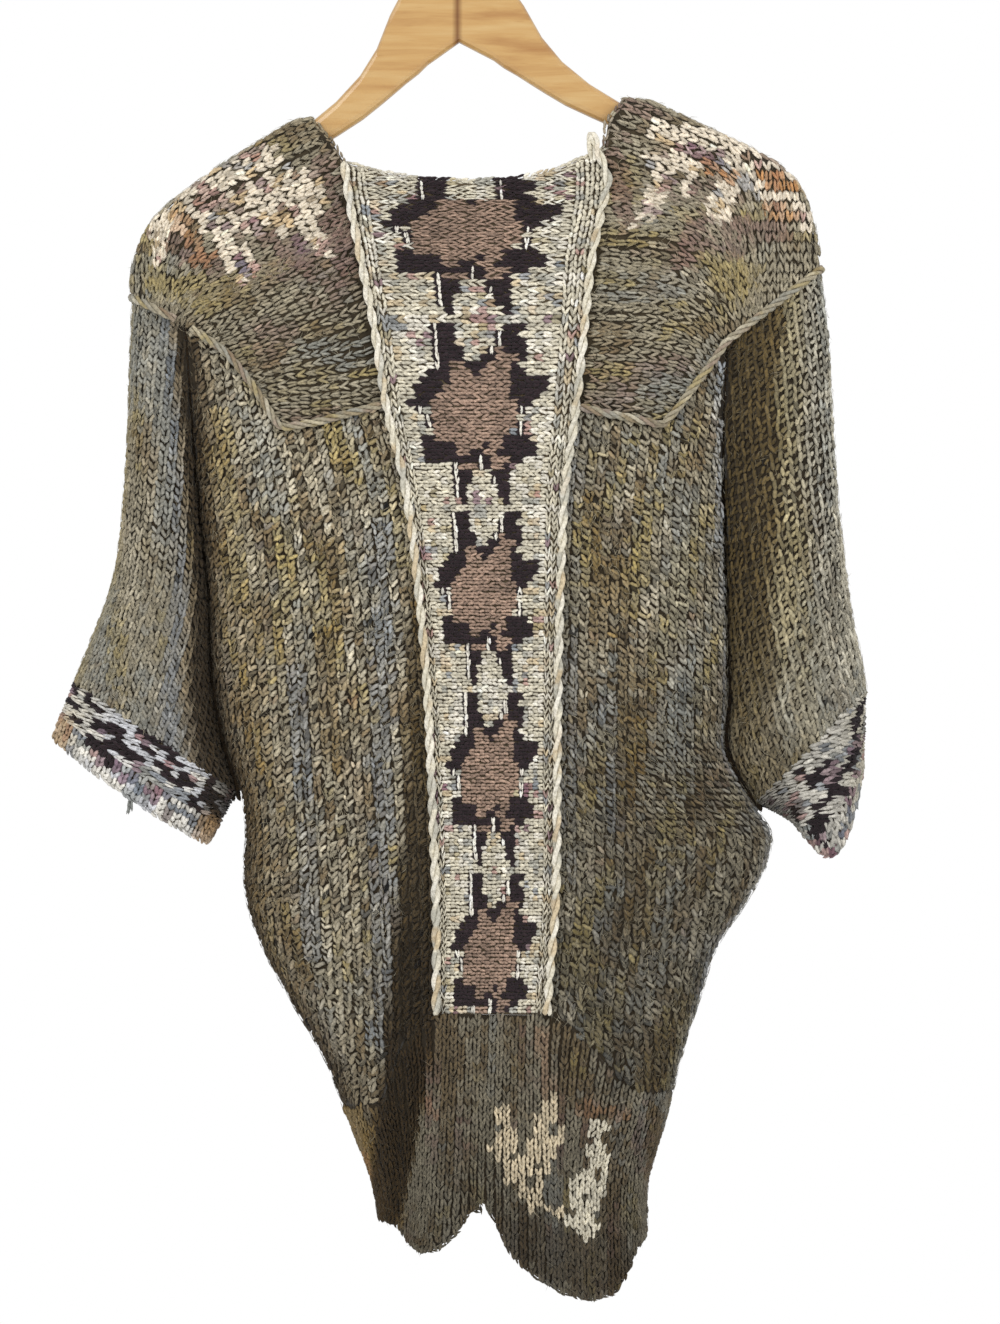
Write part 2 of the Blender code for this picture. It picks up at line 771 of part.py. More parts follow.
def hanger_wood(name):
    rows = [(row, -1.0) for row in reversed(HANGER_ARM)] + [(row, 1.0) for row in HANGER_ARM[1:]]
    mesh = bpy.data.meshes.new(name)
    shape = bmesh.new()
    rings = [
        [shape.verts.new(to_metres(point)) for point in hanger_section(row, sign)]
        for row, sign in rows
    ]
    for near, far in zip(rings[:-1], rings[1:]):
        for i in range(len(near)):
            j = (i + 1) % len(near)
            shape.faces.new((near[i], far[i], far[j], near[j]))
    shape.faces.new(rings[0])
    shape.faces.new(rings[-1][::-1])
    bmesh.ops.remove_doubles(shape, verts=shape.verts, dist=MERGE_DISTANCE)
    bmesh.ops.recalc_face_normals(shape, faces=shape.faces)
    for face in shape.faces:
        face.smooth = True
    shape.to_mesh(mesh)
    shape.free()
    return link(name, mesh, "beech_wood")


def hanger_hook(name):
    """Round over the rail, then back to an upright stem on the hanger's neck."""
    radius = HOOK_INNER_RADIUS + HOOK_WIRE_RADIUS
    points = []
    for i in range(HOOK_POINTS + 1):
        angle = mix(HOOK_START, HOOK_END, i / HOOK_POINTS)
        points.append((radius * math.cos(angle), HOOK_INNER_RADIUS - radius * math.sin(angle)))
    points.append((HOOK_BEND_ACROSS, HOOK_STEM_TOP - HOOK_BEND_RISE))
    points.append((0.0, HOOK_STEM_TOP))
    points.append((0.0, HOOK_STEM_FOOT))
    line = [tilted(across, 0.0, down) for across, down in points]
    return cord(name, line, HOOK_WIRE_RADIUS, "plated_steel", HOOK_ROUNDING)


def build():
    remove_everything()
    hanger_wood("hanger_wood")
    hanger_hook("hanger_hook")
    cloth("back_panel", inset(panel_grid()), "cream_knit", outward=1)
    cloth("hem_back", inset(hem_back_grid()), "hem_knit", outward=1)
    for side, word in ((LEFT, "left"), (RIGHT, "right")):
        hand = -SIDE_SIGN[side]
        cloth("back_" + word, inset(flank_grid(side, BACK)), "taupe_knit", outward=hand)
        cloth("front_" + word, inset(flank_grid(side, FRONT)), "taupe_knit", outward=-hand)
        cloth("hem_front_" + word, inset(hem_front_grid(side)), "hem_knit", outward=-hand)
        cloth("sleeve_" + word, inset(sleeve_grid(side)), "taupe_knit", outward=hand)
        cloth("cuff_" + word, inset(cuff_grid(side), sides=False), "cuff_knit", ring=True, outward=hand)
        cloth("yoke_" + word, inset(yoke_grid(side)), "yoke_knit", folded=True, outward=hand)
        panel_cord("panel_cord_" + word, side)
        yoke_cord("yoke_cord_" + word, side)


build()
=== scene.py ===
import math

import bmesh
import bpy
import numpy as np
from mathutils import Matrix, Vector
from mathutils.bvhtree import BVHTree


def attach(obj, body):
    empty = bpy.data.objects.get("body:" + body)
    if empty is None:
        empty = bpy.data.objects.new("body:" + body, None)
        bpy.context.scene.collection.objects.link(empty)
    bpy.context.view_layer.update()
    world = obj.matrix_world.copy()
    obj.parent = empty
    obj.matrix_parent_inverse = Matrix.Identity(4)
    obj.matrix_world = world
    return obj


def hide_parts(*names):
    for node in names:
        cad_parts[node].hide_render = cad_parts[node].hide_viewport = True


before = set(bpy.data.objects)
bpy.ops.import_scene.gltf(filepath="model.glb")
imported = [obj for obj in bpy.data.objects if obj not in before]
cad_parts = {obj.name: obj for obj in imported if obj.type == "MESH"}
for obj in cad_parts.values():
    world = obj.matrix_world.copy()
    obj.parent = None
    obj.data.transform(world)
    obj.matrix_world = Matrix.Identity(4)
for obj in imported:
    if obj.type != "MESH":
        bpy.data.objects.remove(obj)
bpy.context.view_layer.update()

mm = 0.001
left, right = 0, 1
back, front = -1.0, 1.0
words = ("left", "right")
signs = (-1.0, 1.0)

# The garment's shape, in millimetres: "across" is along X and "down" the depth below the origin.
# Rows of both sides are (down, left value, right value), and outlines are (across, down).
garment = {
    "bodyDepth": 36.0, "ridgeRound": 11.0, "drapeLength": 120.0,
    "sideRound": 34.0, "turnShare": 0.35, "widestTurn": 0.45,
    "narrowestValley": 0.3, "sewnValley": 15.0, "foldFade": 45.0,
    "sideLines": [
        (300, -182, 197), (430, -175, 194), (519, -166, 196), (596, -160, 197), (632, -152, 196),
        (665, -142, 213), (692, -140, 228), (708, -141, 225), (736, -139, 211), (764, -130, 192),
        (806, -108, 177), (848, -84, 164), (890, -68, 154), (932, -52, 142), (975, -45, 141)],
    "panelLines": [
        (205, -72, 111), (240, -68, 111), (288, -59, 102), (334, -50, 97), (391, -41, 91),
        (442, -29, 84), (527, -18, 80), (656, -9, 78), (736, -6, 77), (813, -6, 71), (1010, -15, 74)],
    "frontEdges": [
        (188, -95, 126), (300, -72, 116), (389, -50, 105), (520, -8, 80), (650, 12, 67),
        (850, 22, 62), (975, 24, 62)],
    "valleys": [
        (300, 21, 21), (345, 19, 20), (380, 13, 14), (430, 8, 9), (480, 4, 5), (530, 1, 2),
        (560, 0, 0)],
    "ridges": (
        [(-95, 188), (-106, 190), (-130, 204), (-153, 218), (-171, 231), (-192, 246), (-206, 260),
         (-214, 274), (-219, 290), (-221, 305)],
        [(126, 174), (144, 176), (173, 190), (203, 204), (230, 218), (246, 232), (253, 246),
         (257, 260), (260, 273), (262, 284)]),
    "neckCorners": (
        [(-95, 188), (-81, 203), (-71, 220)],
        [(126, 174), (114, 190), (111, 210)]),
    "neckline": [(-71, 220), (-46, 227), (-18, 232), (17, 234), (52, 232), (80, 225), (111, 210)],
    "yokeSeam": [
        (-181, 333), (-156, 360), (-138, 382), (-120, 406), (-89, 402), (-41, 389), (91, 391),
        (112, 396), (134, 400), (152, 404), (165, 391), (183, 365), (197, 344)],
    "hemSeam": [
        (-80, 880), (-48, 876), (-35, 853), (-24, 832), (-6, 814), (71, 815), (85, 825),
        (100, 837), (120, 857), (140, 868), (162, 870)],
    "hemEdge": [
        (-50, 957), (-34, 961), (-27, 974), (-18, 979), (-5, 977), (8, 967), (17, 953), (26, 944),
        (32, 955), (45, 980), (61, 996), (80, 1007), (101, 1012), (119, 1007), (128, 992),
        (134, 977), (141, 970)],
    "hemFrontSeam": 868.0, "hemFrontEdge": 955.0,
    # (outer across, outer down, inner down, half depth), from the armhole to the cuff
    "sleeves": (
        [(-219, 314, 333, 22), (-221, 360, 374, 25), (-222, 400, 418, 28), (-225, 450, 470, 31),
         (-230, 498, 524, 33), (-238, 528, 566, 34), (-249, 556, 610, 35), (-260, 583, 659, 35)],
        [(262, 294, 344, 22), (268, 344, 382, 25), (271, 400, 430, 28), (275, 460, 490, 31),
         (280, 505, 542, 33), (285, 540, 590, 34), (291, 568, 632, 35), (294, 589, 667, 35)]),
    "sleeveGaps": [(345, 2.0), (400, 0.5), (530, 0.6), (600, 3.2)],
    # (outer across, outer down, inner across, inner down, half depth, bow) of the cuff's free edge
    "cuffEnds": ((-275, 621, -165, 695, 34, 4), (292, 648, 243, 680, 30, 39)), "cuffSkew": (0.0, 0.4),
    # (top across, top down, foot across, foot down, out at the top, out at the foot, half width)
    "folds": {
        back: [
            (-19, 640, -33, 975, -2, -19, 12.5), (99, 520, 97, 820, 3, 5, 13),
            (40, 850, 28, 950, 0, -12, 11), (-6, 880, -6, 980, 2, 7, 16),
            (84, 880, 88, 1010, 2, 8, 30), (-128, 440, -112, 740, 3, 4, 20),
            (-72, 430, -62, 720, -3, -3, 20), (150, 440, 150, 760, 4, 3, 24),
            (182, 430, 188, 640, -2, -4, 14), (124, 760, 118, 870, -3, -4, 12)],
        front: [
            (-110, 440, -96, 780, 4, 4, 22), (-60, 460, -40, 820, -3, -4, 20),
            (140, 440, 138, 780, 4, 4, 22), (108, 480, 100, 840, -3, -4, 18)]},
}


def smoothTable(stations, values):
    stations = np.array(stations, dtype=float)
    values = np.array(values, dtype=float)
    slopes = np.gradient(values, stations)

    def at(place):
        place = np.clip(np.asarray(place, dtype=float), stations[0], stations[-1])
        i = np.clip(np.searchsorted(stations, place, side="right") - 1, 0, len(stations) - 2)
        span = stations[i + 1] - stations[i]
        t = (place - stations[i]) / span
        rise = (1 + 2 * t) * (1 - t) ** 2 * values[i] + t * t * (3 - 2 * t) * values[i + 1]
        return rise + span * (t * (1 - t) ** 2 * slopes[i] - t * t * (1 - t) * slopes[i + 1])

    return at


def sidePair(rows):
    downs = [row[0] for row in rows]
    return [smoothTable(downs, [row[1 + side] for row in rows]) for side in (left, right)]


def straightTable(rows, column=1):
    stations = [row[0] for row in rows]
    values = [row[column] for row in rows]
    return lambda place: np.interp(place, stations, values)


sideLine = sidePair(garment["sideLines"])
panelLine = sidePair(garment["panelLines"])
frontEdge = sidePair(garment["frontEdges"])
neckline = straightTable(garment["neckline"])
yokeSeam = straightTable(garment["yokeSeam"])
hemSeam = straightTable(garment["hemSeam"])
hemEdge = straightTable(garment["hemEdge"])


def mix(a, b, share):
    return a + (b - a) * share


def smoothStep(value):
    value = np.clip(value, 0.0, 1.0)
    return value * value * (3 - 2 * value)


def unit(vectors):
    return vectors / np.maximum(np.linalg.norm(vectors, axis=-1, keepdims=True), 1e-9)


def valleyDepth(side, down):
    return np.maximum(straightTable(garment["valleys"], 1 + side)(down), garment["narrowestValley"])


def ridgeDistance(across, down):
    here = np.stack(np.broadcast_arrays(across, down), axis=-1).astype(float)
    nearest = np.full(here.shape[:-1], np.inf)
    for ridge in garment["ridges"]:
        points = np.array(ridge, dtype=float)
        for start, end in zip(points[:-1], points[1:]):
            run = end - start
            share = np.clip(((here - start) @ run) / (run @ run), 0.0, 1.0)
            away = np.linalg.norm(here - start - share[..., None] * run, axis=-1)
            nearest = np.minimum(nearest, away)
    return nearest


def halfDepth(across, down):
    away = ridgeDistance(across, down)
    turn = 1.0 - np.minimum(away / garment["ridgeRound"], 1.0)
    opened = 1.0 - np.exp(-np.maximum(away - garment["ridgeRound"] / 2, 0.0) / garment["drapeLength"])
    rounded = garment["ridgeRound"] * np.sqrt(1.0 - turn * turn)
    return rounded + (garment["bodyDepth"] - garment["ridgeRound"]) * opened


def foldOut(face, across, down):
    total = np.zeros(np.broadcast(across, down).shape)
    for topAcross, topDown, footAcross, footDown, topOut, footOut, width in garment["folds"][face]:
        share = np.clip((down - topDown) / (footDown - topDown), 0.0, 1.0)
        beyond = np.maximum(np.maximum(topDown - down, down - footDown), 0.0) / garment["foldFade"]
        beyond = np.minimum(beyond, 1.0)
        centre = mix(topAcross, footAcross, share)
        height = mix(topOut, footOut, share) * (1.0 - beyond) ** 2 * (1.0 + 2.0 * beyond)
        total = total + height * np.exp(-(((across - centre) / width) ** 2))
    return total


def place(across, out, down):
    return np.stack(np.broadcast_arrays(across * mm, out * mm, -down * mm), axis=-1)


def flankPoint(side, face, share, down):
    share, down = np.broadcast_arrays(share, down)
    edge = sideLine[side](down)
    inner = (panelLine if face == back else frontEdge)[side](down)
    width = np.abs(inner - edge)
    turn = np.minimum(garment["sideRound"], garment["widestTurn"] * width)
    start = np.arcsin(np.minimum(valleyDepth(side, down) / halfDepth(edge, down), 1.0))
    turned = turn * np.cos(start)
    turnShare = garment["turnShare"]
    angle = mix(start, math.pi / 2, np.minimum(share / turnShare, 1.0))
    reach = np.where(
        share < turnShare,
        turned - turn * np.cos(angle),
        mix(turned, width, (share - turnShare) / (1.0 - turnShare)))
    across = edge - signs[side] * reach
    out = (halfDepth(across, down) + foldOut(face, across, down)) * np.sin(angle)
    return place(across, face * out, down)


def panelPoint(share, down):
    across = mix(panelLine[left](down), panelLine[right](down), share)
    return place(across, back * (halfDepth(across, down) + foldOut(back, across, down)), down)


def sleeveSection(side, share):
    rows = garment["sleeves"][side]
    stations = np.linspace(0.0, 1.0, len(rows))
    columns = [smoothTable(stations, [row[i] for row in rows])(share) for i in range(4)]
    outerAcross, outerDown, innerDown, depth = columns
    gap = straightTable(garment["sleeveGaps"])(innerDown)
    innerAcross = sideLine[side](innerDown) + signs[side] * gap
    halfTurn = math.pi - np.arcsin(np.minimum(valleyDepth(side, innerDown) / depth, 1.0))
    return outerAcross, outerDown, innerAcross, innerDown, depth, halfTurn


def sleevePoint(side, turn, share):
    turn, share = np.broadcast_arrays(turn, share)
    outerAcross, outerDown, innerAcross, innerDown, depth, halfTurn = sleeveSection(side, share)
    angle = turn * halfTurn
    along = (1.0 - np.cos(angle)) / (1.0 - np.cos(halfTurn))
    return place(
        mix(outerAcross, innerAcross, along), -depth * np.sin(angle), mix(outerDown, innerDown, along))


def cuffPoint(side, turn, share):
    turn, share = np.broadcast_arrays(turn, share)
    outerAcross, outerDown, innerAcross, innerDown, depth, _ = sleeveSection(side, 1.0)
    endOuterAcross, endOuterDown, endInnerAcross, endInnerDown, endDepth, bow = garment["cuffEnds"][side]
    angle = turn * math.pi
    along = (1.0 - np.cos(angle)) / 2.0
    across = mix(mix(outerAcross, innerAcross, along), mix(endOuterAcross, endInnerAcross, along), share)
    down = mix(mix(outerDown, innerDown, along), mix(endOuterDown, endInnerDown, along), share)
    out = -mix(depth, endDepth, share) * np.sin(angle)
    bow = bow * (1.0 + garment["cuffSkew"][side] * np.cos(angle))
    return place(across, out, down + bow * share * np.sin(angle) ** 2)


def flankTop(side, face, share):
    share = np.asarray(share, dtype=float)
    down = np.full(share.shape, float(yokeSeam(sideLine[side](345.0))))
    for _ in range(2):
        down = yokeSeam(flankPoint(side, face, share, down)[..., 0] / mm)
    return down


def flankFoot(side, face, share):
    share = np.asarray(share, dtype=float)
    if face == front:
        return np.full(share.shape, garment["hemFrontSeam"])
    return hemSeam(flankPoint(side, face, share, 850.0)[..., 0] / mm)


def travel(points):
    return np.concatenate(([0.0], np.cumsum(np.linalg.norm(np.diff(points, axis=0), axis=1))))


def walk(points, share):
    points = np.array(points, dtype=float)
    travelled = travel(points)
    along = np.asarray(share) * travelled[-1]
    return np.stack([np.interp(along, travelled, points[:, i]) for i in range(points.shape[1])], axis=-1)


def yokeSurface(side, face, rows):
    shares = np.linspace(1.0, 0.0, 23)
    body = flankPoint(side, face, shares, flankTop(side, face, shares))
    sleeve = sleevePoint(side, -face * (1.0 - np.arange(1, 15) / 14.0), 0.0)
    seam = np.concatenate((body, sleeve))
    reached = travel(seam) / travel(seam)[-1]
    lines = panelLine if face == back else frontEdge
    corner = garment["neckCorners"][side] if face == back else garment["ridges"][side][:1]
    downs = np.linspace(corner[-1][1], flankTop(side, face, 1.0), 8)[1:]
    edge = list(corner) + [(float(lines[side](down)), float(down)) for down in downs]
    t = (np.arange(rows + 1) / rows) ** 1.7
    neck = walk(garment["ridges"][side], 0.0)
    columns = []
    for k, low in zip(reached, seam):
        top = walk(garment["ridges"][side], k)
        lowFlat = np.array((low[0], -low[2])) / mm
        lowRatio = abs(low[1]) / mm / halfDepth(*lowFlat)
        bend = walk(edge, t) - mix(neck, np.array((seam[0][0], -seam[0][2])) / mm, t[:, None])
        flat = mix(top, lowFlat, t[:, None]) + (1.0 - k) * bend
        out = halfDepth(flat[:, 0], flat[:, 1]) * mix(1.0, lowRatio, t ** (2.0 * (1.0 - k)))
        out[0] = 0.0
        column = place(flat[:, 0], face * out, flat[:, 1])
        column[-1] = low
        columns.append(column)
    return np.array(columns)


# Surfaces as grids of points, and what lies square to them.

def outwardNormals(grid, ring=False):
    if ring:
        wide = np.concatenate((grid[-1:], grid, grid[:1]))
        alongColumns = np.gradient(wide, axis=0)[1:-1]
    else:
        alongColumns = np.gradient(grid, axis=0)
    normals = unit(np.cross(alongColumns, np.gradient(grid, axis=1)))
    centre = grid.reshape(-1, 3).mean(axis=0)
    centre[1] = 0.0
    return normals if np.sum(normals * (grid - centre)) > 0.0 else -normals


def sewnNormals(normals, face, side, downs, nearness):
    sewn = np.minimum(valleyDepth(side, downs) / garment["sewnValley"], 1.0) * np.maximum(nearness, 0.0)
    towards = np.stack(np.broadcast_arrays(0.0 * sewn, face + 0.0 * sewn, 0.0 * sewn), axis=-1)
    return unit(mix(normals, towards, sewn[..., None]))


def frameOf(pointAt, a, b, stepA, stepB):
    here = pointAt(a, b)
    alongA = unit(pointAt(a + stepA, b) - pointAt(a - stepA, b))
    alongB = unit(pointAt(a, b + stepB) - pointAt(a, b - stepB))
    normals = unit(np.cross(alongA, alongB))
    centre = here.mean(axis=0)
    centre[1] = 0.0
    if np.sum(normals * (here - centre)) < 0.0:
        normals = -normals
    return here, alongA, alongB, normals


# Colour: smooth patches, streaks, the yarns' own colours and the colours of painted shade, as sRGB
# bytes.

def fromBytes(rgb):
    value = np.array(rgb, dtype=float) / 255.0
    return np.where(value <= 0.04045, value / 12.92, ((value + 0.055) / 1.055) ** 2.4)


def patchNoise(x, y, size, seed):
    lattice = np.random.default_rng(seed).random((64, 64))
    u, v = np.asarray(x) / size + 900.0, np.asarray(y) / size + 900.0
    i, j = np.floor(u).astype(int), np.floor(v).astype(int)
    s, t = smoothStep(u - i), smoothStep(v - j)
    near = mix(lattice[i % 64, j % 64], lattice[(i + 1) % 64, j % 64], s)
    far = mix(lattice[i % 64, (j + 1) % 64], lattice[(i + 1) % 64, (j + 1) % 64], s)
    return mix(near, far, t)


def streakNearness(across, down, rows):
    best = np.full(np.shape(across), -9.0)
    here = np.stack((across, down), axis=-1)
    for startAcross, startDown, endAcross, endDown, width in rows:
        start = np.array((startAcross, startDown))
        run = np.array((endAcross - startAcross, endDown - startDown))
        share = np.clip(((here - start) @ run) / (run @ run), 0.0, 1.0)
        away = np.linalg.norm(here - start - share[:, None] * run, axis=-1)
        best = np.maximum(best, 1.0 - away / width)
    return best


def blendIn(tint, colour, weight):
    return mix(tint, fromBytes(colour), np.clip(weight, 0.0, 1.0)[:, None])


def streaked(tint, stitches, rows, seed):
    across, down = stitches["across"], stitches["down"]
    ragged = (patchNoise(across, down / 2.0, 5.0, seed) - 0.5) * 0.9
    ragged = ragged + np.random.default_rng(seed).normal(0.0, 0.15, len(across))
    for name, weight, row in rows:
        near = smoothStep((streakNearness(across, down, [row]) + ragged) * 2.5)
        tint = blendIn(tint, heather[name], near * weight)
    return tint


# dark and deep are the colours of painted shade in valleys, folds, seams and shaded ends; the yarn
# colours blue, brown and umber also serve as painted shade further down, and blue as a painted highlight
heather = {
    "base": (158, 150, 130), "light": (204, 196, 176), "grey": (142, 145, 142),
    "ochre": (162, 145, 90), "brown": (118, 98, 66), "rust": (154, 108, 76),
    "blue": (122, 131, 144), "dark": (56, 45, 30), "mauve": (134, 108, 100),
    "cream": (215, 209, 191), "white": (238, 234, 224), "aubergine": (44, 33, 37),
    "purple": (126, 90, 108), "medallion": (162, 138, 122), "gold": (190, 160, 108),
    "fuzz": (206, 196, 168), "rose": (168, 120, 118), "deep": (44, 33, 18),
    "frost": (216, 219, 228), "amber": (186, 128, 70), "umber": (126, 103, 56),
    "fawn": (168, 138, 100), "flame": (228, 217, 199),
}


def heatherTint(across, down, seed, shares):
    tint = np.repeat(fromBytes(heather["base"])[None], len(across), axis=0)
    rng = np.random.default_rng(seed)
    for n, (name, share, strength, wide, tall) in enumerate(shares):
        patch = patchNoise(across * tall / wide, down, tall, seed + n)
        fine = patchNoise(across, down, 6.0, seed + 50 + n) * 0.5 + rng.random(len(across)) * 0.5
        amount = smoothStep((patch * 0.66 + fine * 0.34 - 1.0 + share) * 4.0)
        tint = blendIn(tint, heather[name], amount * strength)
    return tint


# Knitting: every stitch is two legs of yarn laid on a closed backing. Angles are in degrees, legs
# are (length share, sunk in mm), and offset, length and thick are shares of a stitch. A stitch's
# wale is the way it points, its course the way to its neighbour.

plainKnit = {"rings": 2, "firstLeg": (1.0, 0.0), "secondLeg": (1.0, 0.0), "offset": 0.25, "stray": 0.3,
             "mottle": 0.16, "edgeSunk": 1.4}
frontKnit = {"rings": 1, "thick": 0.52}  # simpler legs where the photograph doesn't look
fuzz = {"turn": 1.1, "shift": 2.2, "height": (0.5, 1.1), "length": (2.5, 6.5), "bow": 1.4,
        "thick": (0.13, 0.22), "pale": (0.25, 0.75), "fullyPaleAt": 0.16}


def legTemplate(rings):
    shape = bmesh.new()
    bmesh.ops.create_uvsphere(shape, u_segments=4, v_segments=rings + 1, radius=1.0)
    for vert in shape.verts:
        vert.co.z = math.copysign(abs(vert.co.z) ** 1.1, vert.co.z)
    bmesh.ops.triangulate(shape, faces=shape.faces)
    shape.verts.index_update()
    points = np.array([vert.co[:] for vert in shape.verts])
    faces, wraps = [], []
    for face in shape.faces:
        faces.append([vert.index for vert in face.verts])
        around = [math.atan2(vert.co.y, vert.co.x) / math.tau % 1.0 for vert in face.verts]
        middle = [value for value, vert in zip(around, face.verts) if abs(vert.co.z) < 0.99]
        if max(middle) - min(middle) > 0.5:
            around = [value + 1.0 if value < 0.5 else value for value in around]
        wraps.append([(value, vert.co.z * 0.5 + 0.5) for value, vert in zip(around, face.verts)])
    shape.free()
    return points, np.array(faces), np.array(wraps)


def joinedMesh(name, points, faces, wraps, tints):
    mesh = bpy.data.meshes.new(name)
    mesh.from_pydata(points.reshape(-1, 3), [], faces.reshape(-1, 3))
    colour = mesh.attributes.new("yarnTint", "FLOAT_COLOR", "POINT")
    colour.data.foreach_set("color", np.concatenate((tints, np.ones((len(tints), 1))), axis=1).ravel())
    layer = mesh.uv_layers.new(name="yarnWrap")
    layer.data.foreach_set("uv", wraps.reshape(-1, 2).ravel())
    mesh.shade_smooth()
    return mesh


def link(name, mesh, materials):
    thing = bpy.data.objects.new(name, mesh)
    for material in materials:
        mesh.materials.append(material)
    bpy.context.scene.collection.objects.link(thing)
    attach(thing, "root")
    return thing


def layLegs(name, stitches, knit, seed, material):
    rng = np.random.default_rng(seed)
    knit = {**plainKnit, **knit}
    template, faces, wraps = legTemplate(knit["rings"])
    count = len(stitches["here"])
    points, tints = [], []
    wale, course, normal = stitches["wale"], stitches["course"], stitches["normal"]
    wide, tall = stitches["wide"][:, None], stitches["tall"][:, None]
    for hand, size, sunk in ((-1.0, *knit["firstLeg"]), (1.0, *knit["secondLeg"])):
        angle = math.radians(knit["spread"]) * hand + stitches["bias"]
        angle = (angle + rng.normal(0.0, math.radians(knit["wander"]), count))[:, None]
        along = wale * np.cos(angle) + course * np.sin(angle)
        beside = course * np.cos(angle) - wale * np.sin(angle)
        dip = rng.normal(knit["dip"], 0.05, count)[:, None]
        along, upright = unit(along - normal * dip), unit(normal + along * dip)
        middle = stitches["here"] + course * hand * wide * knit["offset"]
        height = knit["lift"] - sunk + rng.normal(0.0, knit["uneven"], count)[:, None]
        middle = middle + normal * height * mm
        stray = knit["stray"] * mm
        middle = middle + course * rng.normal(0.0, stray, count)[:, None]
        middle = middle + wale * rng.normal(0.0, stray, count)[:, None]
        length = tall * knit["length"] * size * rng.normal(1.0, 0.1, count)[:, None] / 2
        width = wide * knit["thick"] * mix(1.0, size, 0.5) * rng.normal(1.0, 0.09, count)[:, None] / 2
        width = width * stitches["slim"][:, None]
        depth = knit["deep"] * mm
        for vertex in template:
            points.append(middle + along * length * vertex[2] + beside * width * vertex[0]
                          + upright * depth * vertex[1])
        tint = stitches["tint"] * rng.normal(1.0, knit["mottle"], count)[:, None]
        tints.append(np.repeat(np.clip(tint, 0.004, 0.95)[None], len(template), axis=0))
    size = len(template)
    points = np.array(points).reshape(2, size, count, 3).transpose(0, 2, 1, 3)
    tints = np.array(tints).transpose(0, 2, 1, 3)
    starts = np.arange(2 * count)[:, None, None] * size
    mesh = joinedMesh(
        name, points, (faces[None] + starts).reshape(-1, 3),
        np.repeat(wraps[None], 2 * count, axis=0), tints.reshape(-1, 3))
    return link(name, mesh, [material])


def kept(stitches, keep):
    return {key: value[keep] for key, value in stitches.items()}


def gathered(parts):
    return {key: np.concatenate([part[key] for part in parts]) for key in parts[0]}


def stitchSet(here, wale, course, normal, wide, tall, tint=None):
    count = len(here)
    return {
        "here": here, "wale": wale, "course": course, "normal": normal,
        "wide": np.full(count, wide * mm) if np.isscalar(wide) else wide,
        "tall": np.full(count, tall * mm) if np.isscalar(tall) else tall,
        "across": here[:, 0] / mm, "down": -here[:, 2] / mm,
        "bias": np.zeros(count), "slim": np.ones(count),
        "tint": np.zeros((count, 3)) if tint is None else tint,
    }


def edged(stitches, points, normals, wide=3.9, step=4.4, colour=None):  # a row of stitches on a line
    reach = travel(points)
    at = np.arange(step * mm / 2, reach[-1], step * mm)
    here = np.stack([np.interp(at, reach, points[:, i]) for i in range(3)], axis=1)
    normal = np.stack([np.interp(at, reach, normals[:, i]) for i in range(3)], axis=1)
    wale = unit(np.gradient(here, axis=0))
    normal = unit(normal - wale * np.sum(normal * wale, axis=1, keepdims=True))
    edge = stitchSet(
        here - normal * plainKnit["edgeSunk"] * mm, wale, np.cross(wale, normal), normal, wide, 4.4)
    if colour is None:
        nearest = [np.argmin(np.sum((stitches["here"] - point) ** 2, axis=1)) for point in here]
        edge["tint"] = stitches["tint"][nearest]
    else:
        edge["tint"] = np.repeat(fromBytes(colour)[None], len(here), axis=0)
    return gathered([stitches, edge])


def layHairs(name, stitches, count, seed):
    rng = np.random.default_rng(seed)
    pick = rng.integers(0, len(stitches["here"]), count)
    wale, course, normal = [stitches[key][pick] for key in ("wale", "course", "normal")]
    angle = stitches["bias"][pick][:, None] + rng.uniform(-fuzz["turn"], fuzz["turn"], count)[:, None]
    along = wale * np.cos(angle) + course * np.sin(angle)
    beside = course * np.cos(angle) - wale * np.sin(angle)
    shift = rng.normal(0.0, fuzz["shift"] * mm, (2, count, 1))
    middle = stitches["here"][pick] + along * shift[0] + beside * shift[1]
    middle = middle + normal * rng.uniform(*fuzz["height"], count)[:, None] * mm
    length = rng.uniform(*fuzz["length"], count)[:, None] * mm
    bow = beside * rng.normal(0.0, fuzz["bow"], count)[:, None] * mm
    thick = rng.uniform(*fuzz["thick"], count)[:, None] * mm
    corners = [middle - along * length - bow, middle + along * length - bow]
    for turn in (0.0, math.tau / 3, math.tau * 2 / 3):
        corners.append(middle + thick * (beside * math.cos(turn) + normal * math.sin(turn)))
    points = np.stack(corners, axis=1)
    faces = np.array([(0, 2, 3), (0, 3, 4), (0, 4, 2), (1, 3, 2), (1, 4, 3), (1, 2, 4)])
    flip = np.sum(np.cross(beside, normal) * along, axis=1) < 0.0
    each = np.repeat(faces[None], count, axis=0)
    each[flip] = each[flip][:, :, ::-1]
    each = each + np.arange(count)[:, None, None] * 5
    wraps = np.tile(np.array(((0.5, 0.5), (0.5, 0.6), (0.6, 0.6))), (count * 6, 1, 1))
    tint = stitches["tint"][pick]
    lightness = np.clip(tint.mean(axis=1) / fuzz["fullyPaleAt"], 0.1, 1.0)
    paleness = (rng.uniform(*fuzz["pale"], count) * lightness)[:, None]
    tint = mix(tint, fromBytes(heather["fuzz"]), paleness)
    mesh = joinedMesh(name, points, each, wraps, np.repeat(tint, 5, axis=0))
    return link(name, mesh, [yarn])


seamGap = 0.05  # mm that each cloth keeps clear of its neighbour


